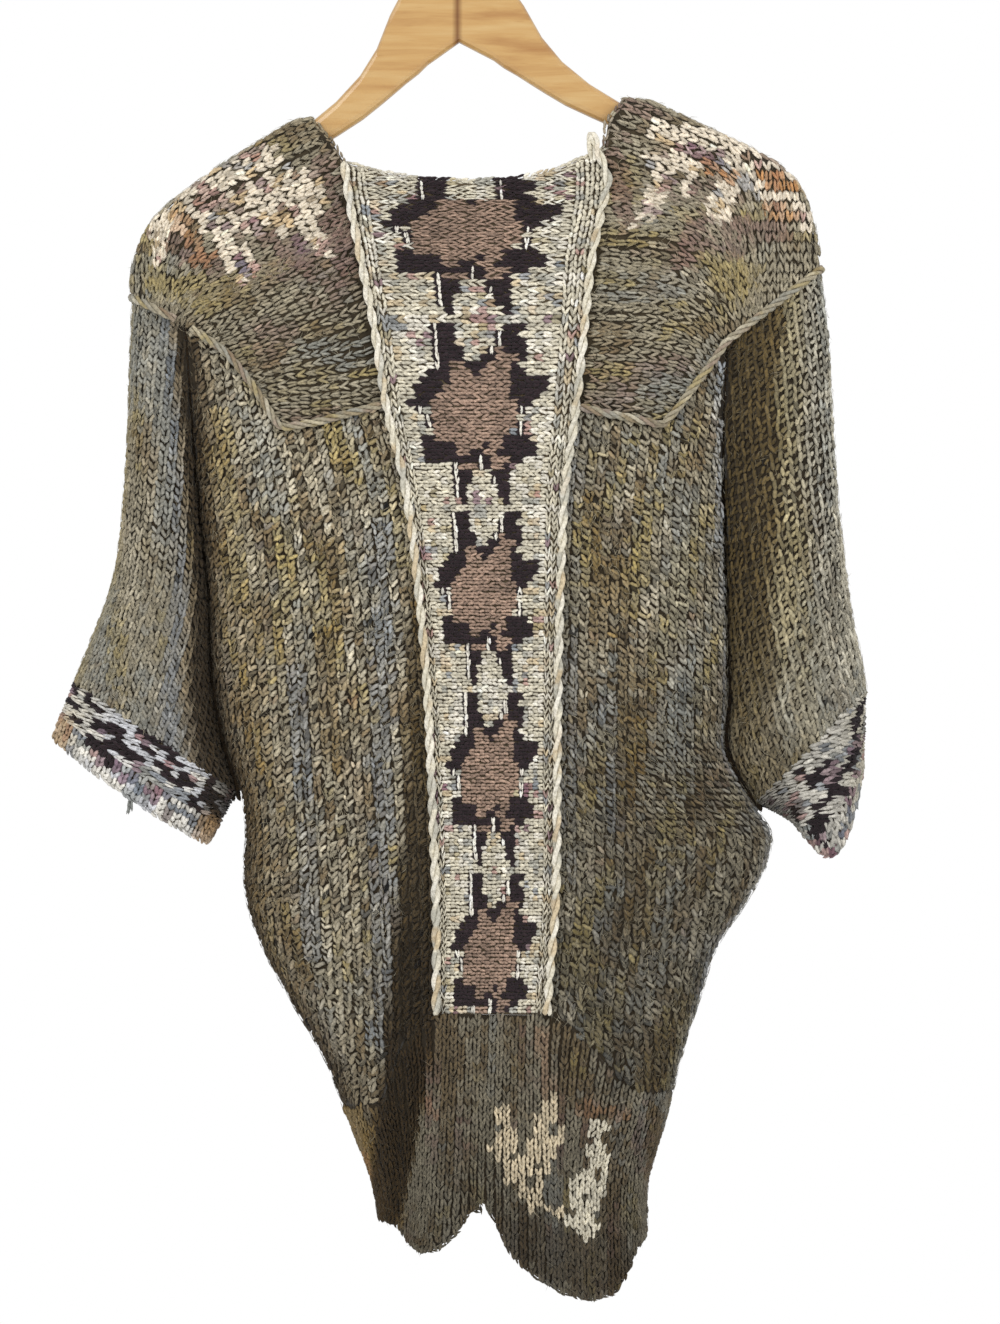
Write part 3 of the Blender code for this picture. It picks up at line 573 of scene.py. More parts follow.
def backing(name, grid, normals, cloth, materials, ring=False):
    columns, rows = grid.shape[:2]
    if ring:
        grid, normals = np.concatenate((grid, grid[:1])), np.concatenate((normals, normals[:1]))
        columns += 1
    outer = grid - normals * cloth["sunk"] * mm
    acrossLengths = np.linalg.norm(np.diff(grid, axis=0), axis=-1).mean(axis=1)
    downLengths = np.linalg.norm(np.diff(grid, axis=1), axis=-1).mean(axis=0)
    u = np.concatenate(([0.0], np.cumsum(acrossLengths))) / (cloth["wide"] * mm)
    v = np.concatenate(([0.0], np.cumsum(downLengths))) / (cloth["tall"] * mm)
    inner = outer - normals * cloth["thick"] * mm
    shape = bmesh.new()
    bmesh.ops.create_grid(shape, x_segments=columns - 1, y_segments=rows - 1, size=1.0)
    layer = shape.loops.layers.uv.new("rowsAndColumns")
    spotCode = shape.verts.layers.int.new("spotCode")
    for face in shape.faces:
        for loop in face.loops:
            i = round((loop.vert.co.x + 1.0) / 2.0 * (columns - 1))
            j = round((loop.vert.co.y + 1.0) / 2.0 * (rows - 1))
            loop[layer].uv = (u[i], v[j])
    for vert in shape.verts:
        i = round((vert.co.x + 1.0) / 2.0 * (columns - 1))
        j = round((vert.co.y + 1.0) / 2.0 * (rows - 1))
        vert.co = outer[i, j]
        vert[spotCode] = i * rows + j
    bmesh.ops.remove_doubles(shape, verts=shape.verts, dist=0.01 * mm)
    shown = set(shape.faces)
    made = bmesh.ops.extrude_face_region(shape, geom=list(shape.faces), use_keep_orig=True)
    for vert in made["geom"]:
        if isinstance(vert, bmesh.types.BMVert):
            vert.co = inner[vert[spotCode] // rows, vert[spotCode] % rows]
    bmesh.ops.recalc_face_normals(shape, faces=shape.faces)
    for face in shape.faces:
        face.smooth = True
        face.material_index = 0 if face in shown else 1
    mesh = bpy.data.meshes.new(name)
    shape.to_mesh(mesh)
    shape.free()
    return link(name, mesh, materials)


def pulledIn(grid, sides=True):
    grid = grid.copy()
    pairs = [(grid[:, 0], grid[:, 1]), (grid[:, -1], grid[:, -2])]
    if sides:
        pairs += [(grid[0], grid[1]), (grid[-1], grid[-2])]
    for edge, inner in pairs:
        run = inner - edge
        length = np.linalg.norm(run, axis=-1, keepdims=True)
        edge += run * np.minimum(seamGap * mm / np.maximum(length, 1e-6), 0.5)
    return grid


def asSheet(name, piece, legs):
    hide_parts(name)
    measured = sum(face.area for face in piece.data.polygons) / 2
    print("made", name, "cloth", round(measured, 4), "m2,",
          sum(len(leg.data.polygons) for leg in legs), "faces of yarn")


def knitted(name, piece, stitches, knit, seed, edges=(), hairs=0):
    loose = [layHairs(name + "_fuzz", stitches, hairs, seed + 5)] if hairs else []
    for points, normals, options in edges:
        stitches = edged(stitches, points, normals, **options)
    legs = layLegs(name + "_yarn", stitches, knit, seed, yarn)
    asSheet(name, piece, [legs] + loose)


# Materials, all from nodes.

def newMaterial(name, roughness, sheen=0.0, metallic=0.0, coat=0.0):
    material = bpy.data.materials.new(name)
    material.use_nodes = True
    shader = material.node_tree.nodes["Principled BSDF"]
    finish = {
        "Roughness": roughness, "Metallic": metallic, "Sheen Weight": sheen, "Sheen Roughness": 0.6,
        "Specular IOR Level": 0.5 if coat or metallic else 0.2,
        "Coat Weight": coat, "Coat Roughness": 0.15}
    for entry, value in finish.items():
        shader.inputs[entry].default_value = value
    return material, material.node_tree, shader


def node(tree, kind, **values):
    made = tree.nodes.new(kind)
    for key, value in values.items():
        if key in made.inputs:
            made.inputs[key].default_value = value
        else:
            setattr(made, key, value)
    return made


def wire(tree, fromNode, output, toNode, entry):
    tree.links.new(fromNode.outputs[output], toNode.inputs[entry])


def ramp(tree, source, output, stops):
    made = node(tree, "ShaderNodeValToRGB")
    elements = made.color_ramp.elements
    while len(elements) < len(stops):
        elements.new(0.5)
    for element, (position, colour) in zip(elements, stops):
        element.position = position
        element.color = (*colour, 1.0)
    wire(tree, source, output, made, "Fac")
    return made


def multiplied(tree, base, output, over, share):
    made = node(tree, "ShaderNodeMix", data_type="RGBA", blend_type="MULTIPLY", Factor=share)
    wire(tree, base, output, made, 6)
    wire(tree, over, "Color", made, 7)
    return made


def bumped(tree, shader, source, output, strength, distance):
    bump = node(tree, "ShaderNodeBump", Strength=strength, Distance=distance)
    wire(tree, source, output, bump, "Height")
    wire(tree, bump, "Normal", shader, "Normal")


def objectNoise(tree, **values):
    noise = node(tree, "ShaderNodeTexNoise", **values)
    wire(tree, node(tree, "ShaderNodeTexCoord"), "Object", noise, "Vector")
    return noise


def yarnMaterial(name, plies):
    material, tree, shader = newMaterial(name, 0.92, sheen=0.06)
    colour = node(tree, "ShaderNodeAttribute", attribute_name="yarnTint")
    fibres = objectNoise(tree, Scale=520.0, Detail=3.0, Roughness=0.6)
    shades = ramp(tree, fibres, "Fac", [
        (0.25, (0.62, 0.6, 0.56)), (0.5, (0.98, 0.97, 0.95)), (0.78, (1.32, 1.3, 1.26))])
    wire(tree, multiplied(tree, colour, "Color", shades, 1.0), 2, shader, "Base Color")
    wrap = node(tree, "ShaderNodeUVMap", uv_map="yarnWrap")
    turned = node(tree, "ShaderNodeMapping", Scale=(plies, 1.6, 1.0))
    wire(tree, wrap, "UV", turned, "Vector")
    twist = node(tree, "ShaderNodeTexWave", Scale=1.0, Distortion=0.6, bands_direction="DIAGONAL")
    wire(tree, turned, "Vector", twist, "Vector")
    height = node(tree, "ShaderNodeMath", operation="ADD")
    wire(tree, twist, "Fac", height, 0)
    wire(tree, fibres, "Fac", height, 1)
    bumped(tree, shader, height, "Value", 0.6, 0.0005)
    return material


def clothMaterial(name, dark, light, purl):
    material, tree, shader = newMaterial(name, 0.95, sheen=0.1)
    drift = objectNoise(tree, Scale=60.0, Detail=4.0, Roughness=0.65)
    shades = ramp(tree, drift, "Fac", [(0.3, fromBytes(dark)), (0.7, fromBytes(light))])
    rows = node(tree, "ShaderNodeUVMap", uv_map="rowsAndColumns")
    loops = node(tree, "ShaderNodeTexVoronoi", Scale=1.0, Randomness=0.25)
    wire(tree, rows, "UV", loops, "Vector")
    # painted shade in the hollows between the loops, stronger on the purl side
    paintedHollowShade = ramp(tree, loops, "Distance", [(0.25, (1.15,) * 3), (0.75, (0.3, 0.28, 0.25))])
    shaded = multiplied(tree, shades, "Color", paintedHollowShade, 0.7 if purl else 0.3)
    wire(tree, shaded, 2, shader, "Base Color")
    turned = node(tree, "ShaderNodeMath", operation="SUBTRACT")
    turned.inputs[0].default_value = 1.0
    wire(tree, loops, "Distance", turned, 1)
    bumped(tree, shader, turned, "Value", 0.8, 0.0012)
    return material


hangerCentre = 0.0082  # where the hanger's two halves are joined, along X


def woodMaterial():
    material, tree, shader = newMaterial("varnishedBeech", 0.28, coat=0.4)
    where = node(tree, "ShaderNodeTexCoord")
    stretched = node(
        tree, "ShaderNodeMapping", Scale=(9.0, 90.0, 120.0), Rotation=(0.0, math.radians(-4.0), 0.0))
    wire(tree, where, "Object", stretched, "Vector")
    grain = node(tree, "ShaderNodeTexNoise", Scale=1.0, Detail=6.0, Roughness=0.6, Distortion=0.4)
    wire(tree, stretched, "Vector", grain, "Vector")
    tones = ramp(tree, grain, "Fac", [
        (0.25, fromBytes((162, 115, 62))), (0.5, fromBytes((188, 148, 90))),
        (0.75, fromBytes((200, 168, 114)))])
    flecks = node(tree, "ShaderNodeTexVoronoi", Scale=4.0, Randomness=1.0)
    wire(tree, stretched, "Vector", flecks, "Vector")
    fleckShade = ramp(tree, flecks, "Distance", [(0.04, (0.72, 0.62, 0.5)), (0.16, (1.0, 1.0, 1.0))])
    flecked = multiplied(tree, tones, "Color", fleckShade, 0.5)
    apart = node(tree, "ShaderNodeSeparateXYZ")
    wire(tree, where, "Object", apart, "Vector")
    offCentre = node(tree, "ShaderNodeMath", operation="SUBTRACT")
    wire(tree, apart, "X", offCentre, 0)
    offCentre.inputs[1].default_value = hangerCentre
    away = node(tree, "ShaderNodeMath", operation="ABSOLUTE")
    wire(tree, offCentre, "Value", away, 0)
    joint = ramp(tree, away, "Value", [(0.0, (0.35, 0.22, 0.1)), (0.0009, (1.0, 1.0, 1.0))])
    wire(tree, multiplied(tree, flecked, 2, joint, 1.0), 2, shader, "Base Color")
    bumped(tree, shader, grain, "Fac", 0.15, 0.0004)
    return material


def steelMaterial():
    material, tree, shader = newMaterial("platedWire", 0.3, metallic=1.0)
    haze = objectNoise(tree, Scale=300.0, Detail=3.0)
    tones = ramp(tree, haze, "Fac", [(0.3, (0.5, 0.5, 0.51)), (0.7, (0.68, 0.68, 0.69))])
    wire(tree, tones, "Color", shader, "Base Color")
    bumped(tree, shader, haze, "Fac", 0.1, 0.0002)
    return material


yarn = yarnMaterial("softYarn", 2.0)
cordYarn = yarnMaterial("cordYarn", 3.0)
bodyShadow = clothMaterial("bodyShadow", (34, 28, 18), (58, 48, 32), False)
yokeShadow = clothMaterial("yokeShadow", (44, 37, 26), (74, 64, 46), False)
bodyInside = clothMaterial("bodyInside", (92, 84, 68), (138, 126, 104), True)
creamShadow = clothMaterial("creamShadow", (46, 38, 26), (84, 70, 50), False)
panelShadow = clothMaterial("panelShadow", (68, 58, 44), (110, 96, 74), False)
creamInside = clothMaterial("creamInside", (150, 136, 116), (206, 192, 170), True)

# Body backs and fronts.

flank = {
    "wide": 7.0, "tall": 4.5, "sunk": 1.9, "thick": 1.0, "slot": "taupe_knit",
    "knit": {"spread": 23.0, "wander": 14.0, "firstLeg": (0.68, 0.5), "offset": 0.22, "lift": -0.7,
             "uneven": 0.36, "length": 1.9, "thick": 0.45, "deep": 1.3, "dip": 0.12, "stray": 0.55,
             "mottle": 0.3},
    "bias": math.radians(17.0), "hairs": {back: 4500, front: 1800},
    # dyes of the heather: (colour, share, strength, width and height of a patch)
    "dyes": [("light", 0.5, 0.7, 9.0, 24.0), ("grey", 0.5, 0.7, 14.0, 60.0),
             ("ochre", 0.48, 0.75, 10.0, 70.0), ("brown", 0.46, 0.8, 9.0, 60.0),
             ("blue", 0.32, 0.45, 9.0, 40.0), ("rust", 0.26, 0.4, 8.0, 50.0)],
    "slant": 0.36,
    # brown yarn and painted shade towards the armhole, where the body turns into the valley; on the
    # back's right side a blue painted highlight instead: (colour, strength, start, share of the width)
    "outside": [("brown", 0.8, 1.3, 0.26), ("dark", 0.9, 1.25, 0.17)],
    "rim": ("blue", 0.6, 1.3, 0.12), "rimLight": 0.55,  # the back's right side catches light
    "lowest": 879.0, "highest": 334.0,
    # painted light and shade by height, (downs, factors): lighter near the top, darker towards the hem
    "shades": {left: ((400, 650, 800, 890), (1.18, 1.0, 0.85, 0.6)),
               right: ((400, 540, 650, 810, 890), (1.0, 0.92, 0.62, 0.41, 0.37))},
    "foldEdge": ((500, 640, 813, 918, 960), (-14, -7, -4, -21, -30)),
    "foldSide": ((500, 560, 690, 812, 880, 960), (-25, -31, -33, -44, -52, -58)),
    "foldDark": ((480, 560, 680, 780, 860, 960), (0.0, 0.45, 0.75, 0.92, 0.95, 0.9)),
    # bands of one colour, mostly dye: (colour, strength, (across, down) to (across, down), half width);
    # the left blue band from (-44, 480) is a painted highlight on the ridge before the fold, and the
    # right blue band from (86, 409) is painted shade beside the panel
    "streaks": {
        left: [("blue", 0.5, (-44, 480, -45, 830, 10)), ("umber", 0.5, (-74, 430, -76, 545, 7)),
               ("umber", 0.55, (-86, 553, -76, 640, 10)), ("umber", 0.5, (-140, 530, -134, 740, 14)),
               ("ochre", 0.5, (-158, 400, -146, 520, 9)), ("blue", 0.5, (-103, 576, -99, 660, 7)),
               ("blue", 0.45, (-100, 690, -92, 770, 9)), ("ochre", 0.5, (-112, 480, -116, 560, 7)),
               ("brown", 0.45, (-116, 640, -110, 760, 8)), ("light", 0.35, (-66, 640, -68, 760, 9))],
        right: [("blue", 0.4, (86, 409, 84, 720, 8)), ("umber", 0.6, (104, 454, 108, 550, 9)),
                ("umber", 0.65, (124, 500, 128, 660, 10)), ("ochre", 0.5, (138, 463, 132, 532, 9)),
                ("grey", 0.5, (166, 450, 160, 640, 13)), ("umber", 0.5, (128, 680, 136, 760, 12)),
                ("blue", 0.35, (112, 600, 118, 700, 7)), ("ochre", 0.45, (96, 740, 104, 840, 8))]},
    # flat width, flat length and area, in metres
    "cuts": {(back, left): (0.17, 0.55, 0.0725), (back, right): (0.17, 0.53, 0.063),
             (front, left): (0.18, 0.54, 0.080), (front, right): (0.18, 0.53, 0.067)},
}


def foldShadow(tint, across, down):
    hidden = smoothStep((np.interp(down, *flank["foldEdge"]) - across) / 4.0)
    hidden = hidden * smoothStep((across - np.interp(down, *flank["foldSide"])) / 7.0)
    tint = blendIn(tint, heather["umber"], hidden * smoothStep((down - 480.0) / 60.0) * 0.7)
    return blendIn(tint, heather["deep"], hidden * np.interp(down, *flank["foldDark"]))


def flankTint(stitches, side, face, share, seed):
    across, down = stitches["across"], stitches["down"]
    tint = heatherTint(across + signs[side] * down * flank["slant"], down, seed, flank["dyes"])
    tint = streaked(tint, stitches, flank["streaks"][side], seed + 80)
    # painted shade in the valley by the armhole; on the back's right side a blue painted highlight along
    # that edge instead
    lit = side == right and face == back
    for name, strength, start, width in [flank["rim"]] if lit else flank["outside"]:
        near = smoothStep(start - share / width)
        tint = blendIn(tint, heather[name], near * strength)
    if lit:
        tint = tint * (1.0 + flank["rimLight"] * near[:, None])
    # painted light and shade by height
    tint = tint * np.interp(down, *flank["shades"][side])[:, None]
    return foldShadow(tint, across, down) if side == left and face == back else tint


def flankStitches(side, face, seed):
    rows = []
    shares = np.linspace(0.0, 1.0, 161)
    lowest = garment["hemFrontSeam"] - 2.0 if face == front else flank["lowest"]
    for down in np.arange(lowest, flank["highest"], -flank["tall"]):
        line = flankPoint(side, face, shares, down)
        fromPanel = travel(line[::-1])
        count = int(fromPanel[-1] / (flank["wide"] * mm) + 0.3)
        reached = (np.arange(count) + 0.5) * flank["wide"] * mm
        places = np.interp(reached, fromPanel, shares[::-1])
        rows.append(np.stack((places, np.full(count, down)), axis=1))
    share, down = np.concatenate(rows).T
    inside = (down > flankTop(side, face, share) + 1.0) & (down < flankFoot(side, face, share) - 1.0)
    share, down = share[inside], down[inside]
    here, across, along, normal = frameOf(
        lambda a, b: flankPoint(side, face, a, b), share, down, 0.004, 1.0)
    stitches = stitchSet(here, -along, across * -signs[side], normal, flank["wide"], flank["tall"])
    stitches["bias"] = np.full(len(here), -signs[side] * flank["bias"])
    stitches["tint"] = flankTint(stitches, side, face, share, seed)
    return stitches


for side in (left, right):
    for face, faceWord in ((back, "back"), (front, "front")):
        name = faceWord + "_" + words[side]
        shares = np.linspace(0.0, 1.0, 31)
        top, foot = flankTop(side, face, shares), flankFoot(side, face, shares)
        downs = mix(top[:, None], foot[:, None], np.linspace(0.0, 1.0, 81)[None])
        grid = flankPoint(side, face, shares[:, None], downs)
        normals = sewnNormals(
            outwardNormals(grid), face, side, downs, 1.0 - shares[:, None] / garment["turnShare"])
        piece = backing(name + "_cloth", pulledIn(grid), normals, flank, [bodyShadow, bodyInside])
        seed = 100 + 10 * side + int(face)
        knit = dict(flank["knit"], **(frontKnit if face == front else {}))
        if side == right:
            knit["firstLeg"], knit["secondLeg"] = plainKnit["secondLeg"], knit["firstLeg"]
        knitted(name, piece, flankStitches(side, face, seed), knit,
                seed, [(grid[-1], normals[-1], {})] if face == front else (), flank["hairs"][face])

# Sleeves.

sleeve = {
    "wide": 7.0, "tall": 4.7, "sunk": 1.9, "thick": 1.0, "slot": "taupe_knit",
    "knit": {"spread": 20.0, "wander": 8.0, "lift": -0.75, "uneven": 0.3, "length": 1.62, "thick": 0.46,
             "deep": 1.35, "dip": 0.1, "stray": 0.35, "mottle": 0.2},
    "rightKnit": {"spread": 22.0, "wander": 13.0, "secondLeg": (0.72, 0.4), "length": 1.95,
                  "thick": 0.49, "stray": 0.5, "mottle": 0.26},
    "rows": 66, "bias": {left: 0.0, right: math.radians(14.0)},
    "dyes": [("light", 0.5, 0.6, 8.0, 30.0), ("grey", 0.56, 0.7, 14.0, 90.0),
             ("ochre", 0.36, 0.6, 9.0, 80.0), ("brown", 0.4, 0.6, 9.0, 60.0),
             ("blue", 0.28, 0.4, 8.0, 60.0)],
    "hairs": 2200, "shade": {left: 0.88, right: 0.64},
    # short rows of dark yarn, (across, down), that close the corner of sleeve, cuff and body: painted
    # shade in the gap
    "fill": {
        left: [[(-149, 654), (-147, 664)]],
        right: [[(214, 662), (220, 669)], [(218, 662), (221, 667)]]},
    "cuts": {left: (0.28, 0.33, 0.0515), right: (0.24, 0.33, 0.0645)},
}


def sleeveTint(stitches, side, turn, share, seed):
    across, down = stitches["across"], stitches["down"]
    tint = heatherTint(across, down, seed, sleeve["dyes"])
    inner = np.abs(turn) + (0.2 * share if side == left else 0.0)
    if side == left:
        # a bluish painted shade where the sleeve turns into the valley
        paintedBlueShade = np.exp(-(((inner - 0.77) / 0.06) ** 2))
        tint = blendIn(tint, heather["blue"], paintedBlueShade * 0.65)
        tint = blendIn(tint, heather["ochre"], smoothStep(1.0 - np.abs(turn) / 0.18) * 0.5)
    else:
        # right sleeve: grey yarn outside and ochre inside, an umber band of painted shade over the inner
        # half, and deep painted shade by the valley and the seam
        wavy = 0.12 * (patchNoise(across, down, 26.0, seed + 70) - 0.5)
        band = smoothStep((inner - 0.5 - wavy) / 0.12)
        low = smoothStep((share - 0.5) / 0.4)
        tint = blendIn(tint, heather["grey"], (1.0 - band) * 0.35)
        tint = blendIn(tint, heather["ochre"], smoothStep((inner - 0.3) / 0.2) * (0.5 - 0.35 * low))
        tint = blendIn(tint, heather["umber"], band * mix(0.8, 0.3, low))
        tint = blendIn(tint, heather["deep"], smoothStep((inner - 0.62) / 0.12) * (1.0 - low) * 0.3)
        # painted light on the outer half and painted shade on the band
        tint = tint * (mix(1.5, 0.76, band) + low * band * 0.12)[:, None] * sleeve["shade"][side]
        # painted highlight along the outer edge
        tint = tint * (1.0 + 0.4 * smoothStep(1.0 - np.abs(turn) / 0.3))[:, None]
        return blendIn(tint, heather["deep"], smoothStep((inner - 0.9) / 0.08) * 0.6)
    tint = tint * sleeve["shade"][side]
    # brown yarn and painted shade in the valley by the body
    tint = blendIn(tint, heather["brown"], smoothStep((inner - 0.8) / 0.06) * 0.6)
    return blendIn(tint, heather["deep"], smoothStep((inner - 0.85) / 0.07) * 0.9)


def seamFill(side):
    share = np.linspace(0.0, 1.0, 61)
    parts = []
    # rows of the deep colour along the seam between sleeve and body: painted shade that fills the gap
    paintedShadeRow = {"step": 2.6, "colour": heather["deep"]}
    for hand, face in ((1.0, back), (-1.0, front)):
        innerDown = sleeveSection(side, share)[3]
        sleeveEdge = sleevePoint(side, np.full(61, hand), share)
        bodyEdge = flankPoint(side, face, np.zeros(61), innerDown)
        line = (sleeveEdge + bodyEdge) / 2 + np.array((0.0, -face, 0.0)) * 0.8 * mm
        gap = np.linalg.norm(sleeveEdge - bodyEdge, axis=1).max() / mm
        for shift in (-1.7, 1.7):
            parts.append((line + np.array((shift, 0.0, 0.0)) * mm, face, 6.4 + gap))
        for row in sleeve["fill"][side]:
            across, down = np.array(row, dtype=float).T
            parts.append((place(across, face * -0.8, down), face, 7.0))
    return [(line, np.tile((0.0, face, 0.0), (len(line), 1)), dict(paintedShadeRow, wide=wide))
            for line, face, wide in parts]


def sleeveStitches(side, seed):
    rows = []
    turns = np.linspace(0.0, 1.0, 121)
    for i in range(sleeve["rows"]):
        share = (i + 0.5) / sleeve["rows"]
        for hand in (-1.0, 1.0):
            line = sleevePoint(side, hand * turns, share)
            reach = travel(line)
            count = int(reach[-1] / (sleeve["wide"] * mm) + 0.2)
            places = (np.arange(count) + 0.5) * sleeve["wide"] * mm
            turn = hand * np.interp(places, reach, turns)
            rows.append(np.stack((turn, np.full(count, share)), axis=1))
    turn, share = np.concatenate(rows).T
    here, around, along, normal = frameOf(
        lambda a, b: sleevePoint(side, a, b), turn, share, 0.004, 0.004)
    wale = -along
    course = unit(np.cross(wale, normal))
    stitches = stitchSet(here, wale, course, normal, sleeve["wide"], sleeve["tall"])
    stitches["bias"] = np.full(len(here), sleeve["bias"][side])
    stitches["tint"] = sleeveTint(stitches, side, turn, share, seed)
    return stitches


for side in (left, right):
    name = "sleeve_" + words[side]
    turns, shares = np.linspace(-1.0, 1.0, 51), np.linspace(0.0, 1.0, 51)
    grid = sleevePoint(side, turns[:, None], shares[None])
    innerDown = sleeveSection(side, shares)[3][None]
    nearness = 1.0 - (1.0 - np.abs(turns[:, None])) / garment["turnShare"]
    normals = outwardNormals(grid)
    half = turns > 0
    for chosen, face in ((half, back), (~half, front)):
        normals[chosen] = sewnNormals(normals[chosen], face, side, innerDown, nearness[chosen])
    piece = backing(name + "_cloth", pulledIn(grid), normals, sleeve, [bodyShadow, bodyInside])
    knit = dict(sleeve["knit"], **(sleeve["rightKnit"] if side == right else {}))
    knitted(name, piece, sleeveStitches(side, 200 + side), knit,
            200 + side, seamFill(side), sleeve["hairs"])

# Cuffs.

cuff = {
    "wide": 6.6, "tall": 4.6, "sunk": 1.9, "thick": 1.0, "slot": "cuff_knit",
    "knit": {"spread": 20.0, "wander": 9.0, "lift": -0.6, "uneven": 0.3, "length": 1.75, "thick": 0.54,
             "deep": 1.5, "dip": 0.1},
    "band": {"spread": 8.0, "wander": 6.0, "length": 1.7, "thick": 0.64},
    "rows": {left: 11, right: 14}, "size": {left: (139.0, 44.0), right: (108.0, 62.0)},
    "turned": {left: 0.66, right: 0.7},  # share of the height whose stitches lie along the band
    "tail": [(-221, -31, 658), (-219, -32, 665), (-220.5, -32, 672)],  # (across, out, down)
    "frost": {left: 0.85, right: 0.3},
    "specks": [("blue", 0.8), ("rose", 0.82), ("grey", 0.78), ("purple", 0.86)],
    # lists of marks below: (which, colour, least nearness, strength)
    "marks": [("plums", "purple", 0.2, 0.75), ("blues", "blue", 0.2, 0.8),
              ("bars", "aubergine", 0.18, 1.0)],
    "shade": (0.87, 0.77), "rightShade": 0.64, "fawnCorners": (0.03, 0.96),
    # dark bars: from (share across, share down) to (share across, share down), half width in mm
    "bars": {
        left: [(0.0, 0.02, 0.03, 0.12, 3), (0.1, 0.1, 0.2, 0.12, 3), (0.01, 0.32, 0.08, 0.3, 2.6),
               (0.07, 0.48, 0.2, 0.42, 2), (0.2, 0.32, 0.35, 0.24, 4), (0.2, 0.63, 0.33, 0.7, 4.6),
               (0.26, 0.4, 0.27, 0.6, 2.6), (0.3, 0.47, 0.48, 0.42, 4), (0.39, 0.03, 0.53, 0.05, 2),
               (0.5, 0.22, 0.59, 0.29, 3), (0.57, 0.04, 0.63, 0.06, 2), (0.65, 0.14, 0.73, 0.18, 4),
               (0.61, 0.4, 0.71, 0.42, 4), (0.62, 0.56, 0.67, 0.58, 2), (0.72, 0.34, 0.8, 0.3, 3),
               (0.86, 0.05, 0.88, 0.4, 5), (0.92, 0.3, 0.96, 0.66, 5), (0.82, 0.52, 0.86, 0.6, 3)],
        right: [(0.04, 0.12, 0.14, 0.36, 4), (0.08, 0.5, 0.3, 0.43, 3.4), (0.4, 0.25, 0.56, 0.3, 4),
                (0.3, 0.45, 0.66, 0.66, 4), (0.42, 0.64, 0.7, 0.84, 3.4), (0.5, 0.76, 0.56, 0.9, 2),
                (0.76, 0.3, 0.86, 0.8, 3), (0.2, 0.7, 0.26, 0.62, 2), (0.62, 0.1, 0.72, 0.2, 2.4)]},
    "plums": {
        left: [(0.44, 0.54, 0.5, 0.52, 3), (0.27, 0.8, 0.33, 0.82, 3), (0.38, 0.78, 0.46, 0.8, 4),
               (0.72, 0.08, 0.74, 0.12, 3), (0.6, 0.76, 0.66, 0.8, 3)],
        right: [(0.32, 0.36, 0.44, 0.42, 4), (0.1, 0.68, 0.2, 0.78, 4), (0.52, 0.5, 0.6, 0.52, 3),
                (0.5, 0.86, 0.6, 0.96, 4)]},
    "blues": {
        left: [(0.56, 0.5, 0.62, 0.54, 4), (0.72, 0.5, 0.84, 0.56, 4), (0.66, 0.7, 0.9, 0.82, 3),
               (0.1, 0.64, 0.14, 0.68, 3), (0.5, 0.72, 0.56, 0.8, 3)],
        right: [(0.56, 0.56, 0.62, 0.6, 3), (0.2, 0.86, 0.3, 0.9, 3)]},
    "cuts": {left: (0.29, 0.048, 0.0135), right: (0.21, 0.08, 0.0118)},
}


def cuffTint(stitches, side, turn, share, seed):
    wide, tall = cuff["size"][side]
    rng = np.random.default_rng(seed)
    u = (1.0 - np.cos(math.pi * np.abs(turn))) / 2.0 * wide
    v = share * tall
    otherSide = v + 90.0 * (turn < 0.0)  # the far side gets its own noise
    ragged = (patchNoise(u / 2.2, otherSide, 3.4, seed) - 0.5) * 1.1 + rng.normal(0.0, 0.14, len(u))

    def nearness(rows):
        scaled = [(a * wide, b * tall, c * wide, d * tall, width) for a, b, c, d, width in rows]
        return streakNearness(u, v, scaled) + ragged

    tint = np.repeat(fromBytes(heather["cream"])[None], len(u), axis=0)
    tint = blendIn(tint, heather["frost"], smoothStep(u / wide * 3.0) * cuff["frost"][side])
    pale = smoothStep((patchNoise(u / 2.0, v, 7.0, seed + 1) - 0.45) * 5.0)
    tint = blendIn(tint, heather["white"], pale * 0.8)
    for n, (name, limit) in enumerate(cuff["specks"]):
        specks = patchNoise(u / 1.7, v, 5.0, seed + 2 + n)
        tint = blendIn(tint, heather[name], (specks > limit) * 0.7)
    for marks, name, limit, strength in cuff["marks"]:
        tint = blendIn(tint, heather[name], (nearness(cuff[marks][side]) > limit) * strength)
    if side == right:
        shadow = smoothStep((u / wide - 0.7) * 5.0)
        return blendIn(tint, heather["dark"], shadow * 0.5) * cuff["rightShade"]
    shadow = smoothStep((u / wide - 0.8) * 6.0) * smoothStep((1.0 - share) * 5.0)
    tint = blendIn(tint, heather["dark"], shadow * 0.8)
    tint = tint * mix(*cuff["shade"], smoothStep(u / wide))[:, None]
    for corner in cuff["fawnCorners"]:
        near = smoothStep(1.3 - np.abs(u / wide - corner) / 0.07)
        tint = blendIn(tint, heather["fawn"], near * smoothStep((share - 0.45) * 4.0) * 0.75)
    return tint


